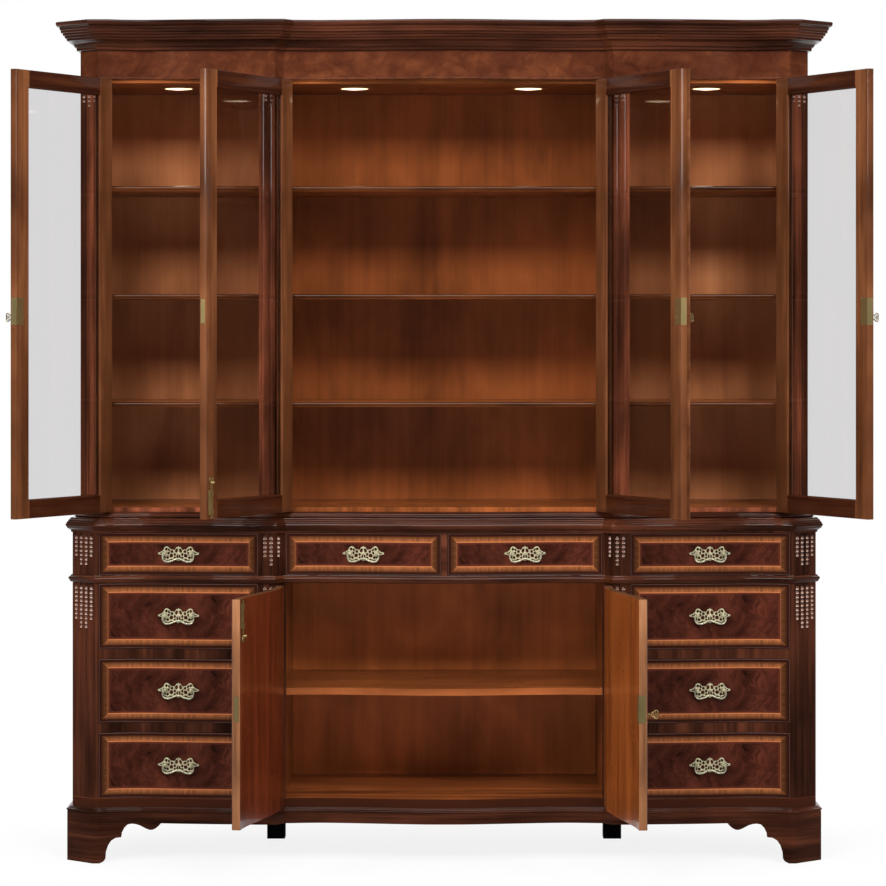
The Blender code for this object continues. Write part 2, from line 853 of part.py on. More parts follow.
def make_cornice():
    """The ceiling board, frieze and cornice, open on top, with the rims of the downlights."""
    rise = cabinet_height - frieze_top
    outer = [(0, hutch_ceiling), (0, frieze_top)]
    outer += [
        (cornice_projection * out, frieze_top + rise * up) for out, up in (
            (0.16, 0.03), (0.2, 0.12), (0.36, 0.24), (0.52, 0.3), (0.56, 0.4), (0.64, 0.5),
            (0.7, 0.6), (0.78, 0.7), (0.84, 0.78), (0.98, 0.84), (1.0, 0.97), (0.97, 1.0),
        )
    ]
    wall = frieze_height / 4
    inner = [(-wall, cabinet_height), (-wall, hutch_ceiling + wall)]
    path = hutch_plan.path()
    part = place(moulded_board("cornice", path, outer), "cornice_with_frieze", mahogany())
    hollow = [[(x, y, z) for x, y in offset_path(path, out)] for out, z in inner]
    hollow[0] = [(x, y, z + cut_overrun) for x, y, z in hollow[0]]
    for ring in hollow:
        for i in (0, -1):
            ring[i] = (ring[i][0], -wall, ring[i][2])
    cut(part, loft("hollow", hollow))
    for x_low, x_high, face in door_bays():
        cut(part, box(
            "notch", (x_low, -hutch_depth - cut_overrun, hutch_ceiling - cut_overrun),
            (x_high, face + hutch_door_thickness + joint_gap, door_head),
        ))
    y = -hutch_depth * light_depth_share
    for x in (-side_light_x, -middle_light_x, middle_light_x, side_light_x):
        low, high = (x, y, hutch_ceiling - light_rim), (x, y, hutch_ceiling + embed)
        join(part, rod("light", light_radius, low, high, 20))


def make_hutch_shelves():
    """Nine shelves, three in each bay, whose front corners fit round the posts and pilasters."""
    side_y = hutch_plan.front(hutch_corner_x) + hutch_door_thickness + shelf_front_room
    front = [(pilaster_outer_x + seat, side_y), (side_door_outer_x - seat, side_y)]
    side_outline = hutch_plan.side_bay(front, seat, seat)
    middle_y = hutch_plan.front(return_inner_x) + hutch_door_thickness + shelf_front_room
    edge = middle_opening_x - seat
    middle_outline = hutch_plan.middle_bay([(-edge, middle_y), (edge, middle_y)], seat)
    for level in range(shelf_levels):
        top = hutch_floor + first_shelf_height + level * shelf_pitch
        for word, outline in (
            ("left", mirrored(side_outline, -1)), ("middle", middle_outline), ("right", side_outline),
        ):
            mesh = slab("shelf", outline, top - shelf_thickness, top)
            place(mesh, f"hutch_shelf_{word}_{level + 1}", mahogany())


def hinge_barrels(door, height, shares, barrel_height, radius):
    """Joins the hinge barrels to a door, on its pin."""
    for share in shares:
        middle = height * share
        low = min(max(middle - barrel_height / 2, joint_gap), height - joint_gap - barrel_height)
        join(door, rod("barrel", radius, (0, 0, low), (0, 0, low + barrel_height), 12))


def make_key(name, door, side, across, face, height):
    """A key in its lock: a shank along the lock's axis, a collar and a ring bow."""
    key = place(
        rod("shank", key_shank_radius, (0, key_reach, 0), (0, -key_length, 0), 8),
        name, brass(), parent=door, location=(side * across, face, height),
    )
    join(key, rod("collar", collar_radius, (0, -key_length * 0.55, 0),
                  (0, -key_length * 0.55 - collar_length, 0), 8))
    bpy.ops.mesh.primitive_torus_add(
        major_radius=bow_radius, minor_radius=bow_wire, major_segments=14, minor_segments=6
    )
    ring = bpy.context.active_object
    bow = ring.data
    bpy.data.objects.remove(ring)
    bow.transform(Matrix.Translation((0, -key_length - bow_radius + bow_wire, 0))
                  @ Matrix.Rotation(math.radians(90), 4, "Y"))
    join(key, bow)


def bolt_lift():
    """How far the middle of a bolt's bar lies from the door's inner face."""
    return flange_thickness + bolt_clearance + bolt_thickness / 2


def strike_hole(x, y, z_low, z_high, front_room):
    """The hole that a bolt shoots into, with room in front of it where the closing door needs it."""
    half_x = bolt_width / 2 + 2 * bolt_clearance
    half_y = bolt_thickness / 2 + 2 * bolt_clearance
    return box("strike", (x - half_x, y - half_y - front_room, z_low), (x + half_x, y + half_y, z_high))


def make_bolt(name, door, x, inner_y, end, upwards):
    """A surface bolt inside a door: its case is part of the door, and its bar slides in the case."""
    way = 1 if upwards else -1
    tip = end - way * bolt_setback
    tail = tip - way * bolt_length
    y = inner_y + bolt_lift()
    case_near, case_far = end - way * case_inset, end - way * (case_inset + case_length)
    low, high = sorted((case_near, case_far))
    join(door, box(
        "flange", (x - flange_width / 2, inner_y - embed, low),
        (x + flange_width / 2, inner_y + flange_thickness, high),
    ))
    join(door, box(
        "case", (x - case_width / 2, inner_y - embed, low), (x + case_width / 2, inner_y + case_reach, high)
    ))
    half_x = bolt_width / 2 + bolt_clearance
    half_y = bolt_thickness / 2 + bolt_clearance
    cut(door, box(
        "bore", (x - half_x, y - half_y, low - cut_overrun), (x + half_x, y + half_y, high + cut_overrun)
    ))
    low, high = sorted((0, -way * bolt_length))
    bar = box("bar", (-bolt_width / 2, -bolt_thickness / 2, low), (bolt_width / 2, bolt_thickness / 2, high))
    bolt = place(bar, name, brass(), parent=door, location=(x, y, tip))
    grip_near, grip_far = -way * (bolt_length - grip_length), -way * bolt_length
    outline = [
        (-bolt_width / 2 + seat, grip_near), (bolt_width / 2 - seat, grip_near),
        (grip_width / 2, grip_far - way * embed), (-grip_width / 2, grip_far - way * embed),
    ]
    half = bolt_thickness / 2 + seat
    join(bolt, slab("grip", outline, -half - flange_thickness, half, upright=True))


def make_hutch_door(name, pin_x, pin_y, side, width, opened, key=False, bolt=False, astragal=False):
    """A glazed door, drawn closed from its pin and swung open; side is 1 if it hangs on its left."""
    low = sill_top + joint_gap
    height = door_head - sill_top - 2 * joint_gap
    thickness = hutch_door_thickness
    near, far = side * joint_gap / 2, side * (joint_gap / 2 + width)
    left, right = sorted((near, far))
    door = place(
        box("frame", (left, 0, 0), (right, thickness, height)), name, mahogany(),
        location=(pin_x, pin_y, low), turn=-side * opened,
    )
    sight_left, sight_right = left + door_stile, right - door_stile
    sight_low, sight_high = door_bottom_rail, height - door_top_rail
    cut(door, box(
        "sight", (sight_left, -cut_overrun, sight_low), (sight_right, thickness + cut_overrun, sight_high)
    ))
    lap = glass_rebate
    cut(door, box(
        "rebate", (sight_left - lap, thickness - rebate_depth, sight_low - lap),
        (sight_right + lap, thickness + cut_overrun, sight_high + lap),
    ))
    pane_y = thickness - rebate_depth + seat
    place(
        box("pane", (sight_left - lap + seat, pane_y, sight_low - lap + seat),
            (sight_right + lap - seat, pane_y + glass_thickness, sight_high + lap - seat)),
        f"{name}_glass", clear_glass(), parent=door,
    )
    hinge_barrels(door, height, hutch_hinge_shares, hutch_hinge_height, barrel_radius)
    if astragal:
        edge = joint_gap / 2 + width
        outline = [
            (edge + astragal_overlap - astragal_width, embed),
            (edge + astragal_overlap - astragal_width, -astragal_thickness),
            (edge + astragal_overlap, -astragal_thickness),
            (edge + astragal_overlap, -2 * seat), (edge - seat, -2 * seat), (edge - seat, embed),
        ]
        join(door, slab("astragal", mirrored(outline, side), 0, height))
    if key:
        across = joint_gap / 2 + width - lock_inset
        cut(door, rod("keyhole", key_hole_radius, (side * across, -cut_overrun, hutch_key_height),
                      (side * across, thickness + cut_overrun, hutch_key_height), 10))
        make_key(f"{name}_key", door, side, across, 0, hutch_key_height)
    if bolt:
        across = joint_gap / 2 + width - bolt_inset
        make_bolt(f"{name}_bolt", door, side * across, thickness, 0, upwards=False)


def make_hutch_doors():
    """Four glazed doors: the outer two hang on the corner posts, the others on the pilasters."""
    _, middle, outer = door_bays()
    side_pin = side_door_outer_x - joint_gap / 2
    middle_pin = middle_opening_x - joint_gap / 2
    side_width = side_door_outer_x - pilaster_outer_x - 2 * joint_gap
    middle_width = middle_opening_x - 1.5 * joint_gap
    make_hutch_door(
        "hutch_door_far_left", -side_pin, outer[2], 1, side_width, far_left_door_open, key=True
    )
    make_hutch_door(
        "hutch_door_middle_left", -middle_pin, middle[2], 1, middle_width, middle_left_door_open,
        bolt=True,
    )
    make_hutch_door(
        "hutch_door_middle_right", middle_pin, middle[2], -1, middle_width, middle_right_door_open,
        key=True, astragal=True,
    )
    make_hutch_door(
        "hutch_door_far_right", side_pin, outer[2], -1, side_width, far_right_door_open, key=True
    )


def cupboard_pin():
    """The pin of the left cupboard door: in the corner between the mitred edge and the return."""
    along = Vector((return_outer_x - return_inner_x, return_depth)).normalized()
    outwards = Vector((along.y, along.x))
    corner = cupboard_door_corner(cupboard_door_thickness)
    return corner.x + outwards.x * cupboard_pin_reach, corner.y - outwards.y * cupboard_pin_reach


def cupboard_door_corner(forward):
    """A point of the left cupboard door's mitred edge, so far in front of its inner face."""
    slope = (return_outer_x - return_inner_x) / return_depth
    slant = math.hypot(1, slope)
    reach = cupboard_door_clearance + forward
    x = return_inner_x + reach * slope - joint_gap * slant
    return Vector((-x, base_plan.front(return_inner_x) - reach))


def cupboard_face(x, forward):
    """The Y of the closed cupboard doors' surface, so far in front of their inner face."""
    return base_plan.front(min(abs(x), middle_opening_x)) - cupboard_door_clearance - forward


def make_cupboard_door(name, side, opened, key=False, bolt=False):
    """A serpentine door, drawn closed from its pin and swung open; side is 1 if it hangs on its left."""
    low = plinth_top + cupboard_door_foot_room
    height = middle_rail_bottom - cupboard_door_head_room - low
    pin_x, pin_y = cupboard_pin()
    free = -joint_gap / 2
    faces = []
    for forward in (cupboard_door_thickness, 0):
        corner = cupboard_door_corner(forward)
        xs = list(np.linspace(-middle_opening_x, free, curve_steps + 1))
        faces.append([(corner.x, corner.y)] + [(x, cupboard_face(x, forward)) for x in xs])
    outline = [(x - pin_x, y - pin_y) for x, y in faces[0] + faces[1][::-1]]
    door = place(
        slab("door", mirrored(outline, side), 0, height), name, mahogany(),
        location=(side * pin_x, pin_y, low), turn=-side * opened,
    )
    hinge_barrels(door, height, cupboard_hinge_shares, cupboard_hinge_height, cupboard_barrel_radius)
    if key:
        x = free - lock_inset
        face = cupboard_face(x, cupboard_door_thickness) - pin_y
        across = x - pin_x
        cut(door, rod(
            "keyhole", key_hole_radius, (side * across, face - cut_overrun, cupboard_key_height),
            (side * across, face + cupboard_door_thickness + cut_overrun, cupboard_key_height), 10,
        ))
        make_key(f"{name}_key", door, side, across, face, cupboard_key_height)
    if bolt:
        x = free - bolt_inset
        inner = max(cupboard_face(x - case_width, 0), cupboard_face(x + case_width, 0)) - pin_y
        make_bolt(f"{name}_bolt", door, side * (x - pin_x), inner, height, True)


def settle():
    """Moves the cabinet so that its origin is on the floor, under the middle of its box."""
    bpy.context.view_layer.update()
    depsgraph = bpy.context.evaluated_depsgraph_get()
    low, high = Vector((math.inf,) * 3), Vector((-math.inf,) * 3)
    for part in parts.objects:
        if part.type == "EMPTY":
            continue
        shown = part.evaluated_get(depsgraph)
        mesh = shown.to_mesh()
        flat = np.empty(len(mesh.vertices) * 3)
        mesh.vertices.foreach_get("co", flat)
        shown.to_mesh_clear()
        turned = flat.reshape(-1, 3) @ np.array(part.matrix_world.to_3x3()).T
        world = turned + np.array(part.matrix_world.translation)
        low = Vector(np.minimum(low, world.min(axis=0)))
        high = Vector(np.maximum(high, world.max(axis=0)))
    root.location = (-(low.x + high.x) / 2, -(low.y + high.y) / 2, -low.z)
    bpy.context.view_layer.update()
    print("Box around the cabinet:", [round(v, 4) for v in high - low])


def main():
    """Builds the cabinet in an emptied scene."""
    global root, parts, cutters
    for old in list(bpy.data.objects):
        bpy.data.objects.remove(old, do_unlink=True)
    parts = bpy.data.collections.new("china_cabinet")
    cutters = bpy.data.collections.new("cutters")
    for collection in (parts, cutters):
        bpy.context.scene.collection.children.link(collection)
    root = bpy.data.objects.new("cabinet", None)
    parts.objects.link(root)
    make_plinth()
    make_bottom()
    make_base_case()
    make_middle_rail()
    make_base_top()
    make_cupboard_shelf()
    make_drawers()
    make_hutch_case()
    make_hutch_partitions()
    make_cornice()
    make_hutch_shelves()
    make_hutch_doors()
    make_cupboard_door("cupboard_door_left", 1, left_cupboard_door_open, bolt=True)
    make_cupboard_door("cupboard_door_right", -1, right_cupboard_door_open, key=True)
    settle()


main()
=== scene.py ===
"""A mahogany china cabinet with its doors open, dressed for a plain studio picture.

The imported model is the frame. This script puts the polished wood, the mouldings, the carving,
the brass and the glass on it, and sets the floor, the lamps and the camera round it.
Lengths are in metres, with +Z up and the front towards -Y.
"""

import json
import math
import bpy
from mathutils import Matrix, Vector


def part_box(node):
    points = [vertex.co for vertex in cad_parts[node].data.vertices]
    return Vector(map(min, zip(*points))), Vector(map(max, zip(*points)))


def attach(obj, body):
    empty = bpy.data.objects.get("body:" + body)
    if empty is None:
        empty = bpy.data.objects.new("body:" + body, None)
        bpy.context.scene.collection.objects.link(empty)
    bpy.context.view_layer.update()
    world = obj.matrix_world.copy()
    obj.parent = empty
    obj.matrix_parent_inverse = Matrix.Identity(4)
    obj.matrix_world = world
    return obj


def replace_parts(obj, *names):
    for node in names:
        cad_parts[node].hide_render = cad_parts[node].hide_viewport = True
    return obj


bl_info = {
    "name": "China Cabinet",
    "version": (1, 0, 0),
    "blender": (4, 5, 0),
    "location": "View3D > Sidebar > China Cabinet",
    "description": "Dresses a glazed mahogany china cabinet in wood, brass and glass",
    "category": "Add Mesh",
}

import bmesh
import bpy
import numpy as np
from bpy.props import FloatProperty, FloatVectorProperty, PointerProperty
from bpy.types import Operator, Panel, PropertyGroup

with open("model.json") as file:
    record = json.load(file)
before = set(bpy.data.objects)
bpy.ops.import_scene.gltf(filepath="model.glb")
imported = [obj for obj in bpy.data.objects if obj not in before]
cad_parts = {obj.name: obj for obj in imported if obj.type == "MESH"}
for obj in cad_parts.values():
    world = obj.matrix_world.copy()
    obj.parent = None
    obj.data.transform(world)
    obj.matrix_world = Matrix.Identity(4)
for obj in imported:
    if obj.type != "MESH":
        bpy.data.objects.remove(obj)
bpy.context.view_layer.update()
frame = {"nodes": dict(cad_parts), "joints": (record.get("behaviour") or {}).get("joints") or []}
joints = {joint["child"]: joint for joint in frame["joints"]}

# The cabinet's own middle plane and back, from which its plan is drawn.
back_low, back_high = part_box("hutch_back")
case_origin = np.array([(back_low.x + back_high.x) / 2, back_high.y, 0.0])

# Clearances.
seat = 0.0003
joint_gap = 0.0015

# Plan of the base and of the hutch, as in the frame.
side_hollow = 0.031
middle_bow = 0.026
return_depth = 0.028
pilaster_outer_x = 0.538
return_outer_x = 0.492
return_inner_x = 0.468
middle_opening_x = 0.4595
side_hollow_shares = (
    (0.0, 0.0), (0.13, 0.17), (0.31, 0.36), (0.49, 0.62), (0.66, 0.94), (0.78, 1.0),
    (0.92, 0.76), (1.0, 0.39),
)
middle_bow_shares = (
    (0.0, -1.0), (0.12, -0.96), (0.3, -0.62), (0.5, -0.15), (0.65, 0.16), (0.8, 0.3), (1.0, 0.0),
)

# Sizes of the frame's parts.
middle_rail_height = 0.0225
sill_height = 0.016
door_head_height = 0.010
frieze_height = 0.084
hutch_door_thickness = 0.021
cupboard_door_thickness = 0.022
door_stile = 0.058
door_top_rail = 0.050
door_bottom_rail = 0.053
hinge_height = 0.075
drawer_front_thickness = 0.016
plinth_projection = 0.015
plinth_board_height = 0.1445
apron_height = 0.114
front_bracket_width = 0.197
side_bracket_width = 0.150

# Heights, from the frame.
plinth_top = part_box("plinth_with_bracket_feet")[1].z
bottom_rail_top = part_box("bottom_board")[1].z
middle_rail_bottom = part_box("middle_rail")[0].z
waist_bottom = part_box("base_top_with_waist_moulding")[0].z
waist_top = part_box("base_top_with_waist_moulding")[1].z
hutch_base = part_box("hutch_case")[0].z
hutch_floor = back_low.z - seat
hutch_ceiling = back_high.z + seat
door_head = hutch_ceiling + door_head_height
frieze_top = door_head + frieze_height
cabinet_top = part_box("cornice_with_frieze")[1].z
middle_rail_top = middle_rail_bottom + middle_rail_height
sill_top = hutch_base + sill_height

# Where the four lights sit in the ceiling, from the middle and the back.
downlight_places = [(-0.789, -0.295), (-0.266, -0.295), (0.250, -0.295), (0.779, -0.295)]


def smooth_share(shares, place):
    """Reads a table of shares along a smooth curve: a cubic between each two points, whose slope at
    a point is that of the line through the points on either side."""
    xs, ys = np.array(shares).T
    low = np.maximum(np.arange(len(xs)) - 1, 0)
    high = np.minimum(np.arange(len(xs)) + 1, len(xs) - 1)
    slopes = (ys[high] - ys[low]) / (xs[high] - xs[low])
    i = np.clip(np.searchsorted(xs, place, side="right") - 1, 0, len(xs) - 2)
    width = xs[i + 1] - xs[i]
    t = (place - xs[i]) / width
    return (
        (1 + 2 * t) * (1 - t) ** 2 * ys[i] + t * (1 - t) ** 2 * width * slopes[i]
        + t * t * (3 - 2 * t) * ys[i + 1] + t * t * (t - 1) * width * slopes[i + 1]
    )


class Plan:
    """A case seen from above: a serpentine front between canted corners."""

    def __init__(self, depth, half_width, corner_x, cant_depth, opening_x):
        self.depth = depth
        self.half_width = half_width
        self.corner_x = corner_x
        self.cant_depth = cant_depth
        self.opening_x = opening_x

    def front(self, x):
        """The front's Y at distances x from the middle: a bow in the middle, a flat strip, a canted
        return, and a hollow in the side sections."""
        x = np.abs(np.asarray(x, float))
        bow = return_depth + middle_bow * smooth_share(
            middle_bow_shares, np.clip(x / middle_opening_x, 0, 1)
        )
        cant = return_depth * (return_outer_x - x) / (return_outer_x - return_inner_x)
        share = np.clip((x - pilaster_outer_x) / (self.opening_x - pilaster_outer_x), 0, 1)
        hollow = side_hollow * smooth_share(side_hollow_shares, share)
        recess = np.select(
            [x < middle_opening_x, x <= return_inner_x, x < return_outer_x], [bow, return_depth, cant],
            hollow,
        )
        return recess - self.depth

    def corner(self):
        """The canted corner's two ends in plan, on the right side."""
        y = float(self.front(self.corner_x))
        return np.array([(self.corner_x, y), (self.half_width, y + self.cant_depth)])

    def path(self, step=0.013):
        """The outline from the left end of the back round the front to the right end."""
        bow = np.linspace(0, middle_opening_x, round(middle_opening_x / step) + 1)
        side = np.linspace(pilaster_outer_x, self.opening_x, round(0.45 / step) + 1)
        x = np.concatenate([bow, [return_inner_x, return_outer_x], side])
        half = np.concatenate([
            np.stack([x, self.front(x)], 1), self.corner(), [(self.half_width, 0.0)],
        ])
        return np.concatenate([half[:0:-1] * (-1, 1), half])


base_plan = Plan(0.545, 1.083, 1.012, 0.058, 1.002)
hutch_plan = Plan(0.515, 1.062, 1.006, 0.046, 0.982)


def plan_normals(path):
    """The outward direction at each point of a path in plan, lengthened at a corner so that the
    lines on both sides of it stay parallel to the path."""
    along = np.diff(path, axis=0)
    along /= np.linalg.norm(along, axis=1, keepdims=True)
    normals = np.stack([along[:, 1], -along[:, 0]], 1)
    before = np.concatenate([normals[:1], normals])
    after = np.concatenate([normals, normals[-1:]])
    mitre = before + after
    mitre /= np.linalg.norm(mitre, axis=1, keepdims=True)
    return mitre / (mitre * before).sum(axis=1, keepdims=True)


def travelled(points, axis=0):
    """The distance travelled along one direction of an array of points, from its first point."""
    steps = np.linalg.norm(np.diff(points, axis=axis), axis=-1)
    start = np.zeros_like(np.take(steps, [0], axis=axis))
    return np.concatenate([start, np.cumsum(steps, axis=axis)], axis=axis)


def curved(corners, steps=6):
    """A profile through corners (out, up, bulge): from one corner to the next it bows outwards by
    the bulge times its length, as 4t(1 - t) does from 0 to 1."""
    corners = np.array(corners, float)
    start, leg = corners[:-1, None, :2], np.diff(corners[:, :2], axis=0)[:, None, :]
    bulge = corners[1:, None, 2:]
    t = np.linspace(0, 1, steps, endpoint=False)[None, :, None]
    outwards = np.stack([leg[..., 1], -leg[..., 0]], -1)
    points = start + leg * t + outwards * bulge * 4 * t * (1 - t)
    kept = (bulge[..., 0] != 0) | (t[..., 0] == 0)
    return np.concatenate([points[kept], corners[-1:, :2]])


class Shape:
    """One piece, gathered from grids of points. Each point has its place on the wood or metal, in
    metres. The piece is drawn from an origin, turned about Z, and turned over for the right side."""

    def __init__(self, origin=case_origin, turn=0.0, mirror=False):
        self.origin = np.array(origin, float)
        self.turn = np.array([
            [math.cos(turn), -math.sin(turn), 0], [math.sin(turn), math.cos(turn), 0], [0, 0, 1],
        ])
        self.mirror = mirror
        self.points = []
        self.places = []
        self.faces = []
        self.finishes = []
        self.count = 0

    def keep(self, points, places, faces, finish):
        """Adds points with their places, and the faces between them."""
        points = np.array(points, float)
        if self.mirror:
            points = points * (-1, 1, 1)
        self.points.append(points @ self.turn.T + self.origin)
        if places.shape[1] == 2:
            places = np.concatenate([places, np.zeros_like(places)], axis=1)
        self.places.append(places)
        self.faces += faces
        self.finishes += [finish] * len(faces)
        self.count += len(points)

    def grid(self, points, places=None, finish=0):
        """A surface: an (n, m, 3) array of points whose neighbours become four-sided faces."""
        points = np.asarray(points, float)
        n, m = points.shape[:2]
        if places is None:
            places = np.stack([travelled(points, 0), travelled(points, 1)], -1)
        index = self.count + np.arange(n * m).reshape(n, m)
        faces = np.stack([index[:-1, :-1], index[1:, :-1], index[1:, 1:], index[:-1, 1:]], -1)
        faces = faces.reshape(-1, 4).tolist()
        self.keep(points.reshape(-1, 3), places.reshape(n * m, -1), faces, finish)

    def cap(self, ring):
        """One flat face inside a ring of points."""
        ring = np.asarray(ring, float)
        places = np.stack([ring[:, 0] + ring[:, 1], ring[:, 2]], 1)
        self.keep(ring, places, [list(range(self.count, self.count + len(ring)))], 0)

    def capped(self, points, places=None):
        """A surface whose first and last rings are closed by flat faces."""
        self.grid(points, places)
        self.cap(points[0, :-1])
        self.cap(points[-1, :-1])

    def between(self, front, back, places, back_finish=0):
        """A solid between two grids of the same size, closed round their rims."""
        self.grid(front, places)
        self.grid(back, places, back_finish)
        for edge in (np.s_[0], np.s_[-1], np.s_[:, 0], np.s_[:, -1]):
            rim = np.stack([front[edge], back[edge]], 1)
            self.grid(rim, np.stack([places[edge], places[edge]], 1))

    def board(self, low, high):
        """A plain board between two corners, whose place runs along its longest side."""
        low, high = np.array(low, float), np.array(high, float)
        long = int(np.argmax(high - low))
        across, thin = [axis for axis in (0, 1, 2) if axis != long]
        sides = []
        for level in (low, high):
            grid = np.empty((2, 2, 3))
            grid[:, :, thin] = level[thin]
            grid[0, :, long], grid[1, :, long] = low[long], high[long]
            grid[:, 0, across], grid[:, 1, across] = low[across], high[across]
            sides.append(grid)
        places = np.stack([sides[0][..., long], sides[0][..., across] + low[thin]], -1)
        self.between(*sides, places)

    def moulding(self, path, profile):
        """A closed profile (distances outwards, heights) carried along a path in plan: each point is
        the path's point, moved along its outward direction by the distance, at the height."""
        profile = np.concatenate([profile, profile[:1]])
        plan = path[:, None, :] + plan_normals(path)[:, None, :] * profile[None, :, :1]
        heights = np.broadcast_to(profile[None, :, 1:], plan.shape[:2] + (1,))
        points = np.concatenate([plan, heights], -1)
        along, around = travelled(path), travelled(profile)
        places = np.stack(np.meshgrid(along, around, indexing="ij"), -1)
        self.capped(points, places)

    def prism(self, outline, low, high):
        """A closed outline in plan, carried straight up from one height to another."""
        outline = np.array(outline, float)
        ring = np.concatenate([outline, outline[:1]])
        points = np.stack([np.insert(ring, 2, z, axis=1) for z in (low, high)])
        places = np.stack([np.insert(travelled(ring)[:, None], 0, z, axis=1) for z in (low, high)])
        self.capped(points, places)

    def turned(self, profile, foot, axis, sides):
        """A turned shape: each profile point (height, radius) is a circle round the axis."""
        profile = np.array(profile, float)
        axis = np.array(axis, float) / np.linalg.norm(axis)
        helper = np.array((0, 0, 1.0)) if abs(axis[2]) < 0.9 else np.array((1.0, 0, 0))
        one = np.cross(axis, helper)
        one /= np.linalg.norm(one)
        two = np.cross(axis, one)
        angle = np.linspace(0, 2 * math.pi, sides + 1)
        circle = np.cos(angle)[:, None] * one + np.sin(angle)[:, None] * two
        spine = np.array(foot, float) + profile[:, :1] * axis
        self.grid(spine[:, None] + circle[None] * profile[:, 1, None, None])

    def tube(self, path, radius, flat, sides, closed=False):
        """A round wire along a path that lies in a plane square to the direction flat: each point of
        its circles is the path's point plus a radius across the path."""
        path = np.array(path, float)
        flat = np.array(flat, float)
        if closed:
            ahead, behind = np.roll(path, -1, axis=0), np.roll(path, 1, axis=0)
        else:
            ahead = np.concatenate([path[1:], path[-1:]])
            behind = np.concatenate([path[:1], path[:-1]])
        along = ahead - behind
        along /= np.linalg.norm(along, axis=1, keepdims=True)
        across = np.cross(along, flat)
        radius = np.broadcast_to(radius, (len(path),))
        if closed:
            path, across = np.concatenate([path, path[:1]]), np.concatenate([across, across[:1]])
            radius = np.concatenate([radius, radius[:1]])
        angle = np.linspace(0, 2 * math.pi, sides + 1)[None, :, None]
        circle = np.cos(angle) * across[:, None] + np.sin(angle) * flat[None, None]
        points = path[:, None] + circle * radius[:, None, None]
        if closed:
            self.grid(points)
        else:
            self.capped(points)

    def build(self, name, body, slot, *materials, crease=32):
        """Makes the mesh, joins its seams, turns its faces outwards and lets it ride on a body."""
        mesh = bpy.data.meshes.new(name)
        mesh.from_pydata(np.concatenate(self.points).tolist(), [], self.faces)
        corners = np.empty(len(mesh.loops), np.int32)
        mesh.loops.foreach_get("vertex_index", corners)
        places = np.concatenate(self.places)[corners]
        mesh.uv_layers.new(name="place").data.foreach_set("uv", places[:, :2].ravel())
        mesh.uv_layers.new(name="far").data.foreach_set("uv", places[:, 2:].ravel())
        for material in materials:
            mesh.materials.append(material)
        mesh.polygons.foreach_set("material_index", self.finishes)
        work = bmesh.new()
        work.from_mesh(mesh)
        bmesh.ops.remove_doubles(work, verts=work.verts, dist=0.000004)
        bmesh.ops.recalc_face_normals(work, faces=work.faces)
        work.to_mesh(mesh)
        work.free()
        mesh.shade_smooth()
        mesh.set_sharp_from_angle(angle=math.radians(crease))
        piece = bpy.data.objects.new(name, mesh)
        bpy.context.scene.collection.objects.link(piece)
        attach(piece, body)
        return piece


def maths(operation):
    """A method that puts a maths node after a value."""
    def method(self, *others):
        return self.nodes.node("Math", dict(enumerate((self, *others))), operation=operation)
    return method


class Value:
    """A socket of a node tree, with maths on it written as plain expressions."""

    def __init__(self, nodes, socket):
        self.nodes = nodes
        self.socket = socket

    __add__ = __radd__ = maths("ADD")
    __sub__ = maths("SUBTRACT")
    __mul__ = __rmul__ = maths("MULTIPLY")
    __gt__ = maths("GREATER_THAN")
    __lt__ = maths("LESS_THAN")
    least = maths("MINIMUM")
    most = maths("MAXIMUM")
    power = maths("POWER")
    size = maths("ABSOLUTE")

    def __rsub__(self, other):
        return self * -1 + other

    def part(self, axis):
        """The X, Y or Z of a vector."""
        return self.nodes.node("SeparateXYZ", {0: self}, output=axis)

    def step(self, low, high):
        """0 below the low value, 1 above the high one, and smooth between them."""
        limits = {"Value": self, "From Min": low, "From Max": high}
        return self.nodes.node("MapRange", limits, interpolation_type="SMOOTHSTEP")


class Nodes:
    """A node tree, and a short way to add a node to it."""

    def __init__(self, tree):
        self.tree = tree

    def node(self, kind, inputs=None, output=0, stops=None, **settings):
        """Any node: its settings come first, then the values or links of its sockets."""
        made = self.tree.nodes.new("ShaderNode" + kind)
        for key, value in settings.items():
            setattr(made, key, value)
        if stops:
            ramp = made.color_ramp
            while len(ramp.elements) < len(stops):
                ramp.elements.new(1)
            for element, (place, colour) in zip(ramp.elements, stops):
                element.position = place
                element.color = (*colour, 1)
        for key, value in (inputs or {}).items():
            if isinstance(value, Value):
                self.tree.links.new(value.socket, made.inputs[key])
            else:
                made.inputs[key].default_value = value
        return Value(self, made.outputs[output])

    def rays(self):
        """1 where the camera looks on a surface or through glass at it, and 1 where it is mirrored."""
        straight, through, mirrored = (
            self.node("LightPath", output=f"Is {kind} Ray") for kind in ("Camera", "Transmission", "Glossy")
        )
        return straight.most(through), mirrored


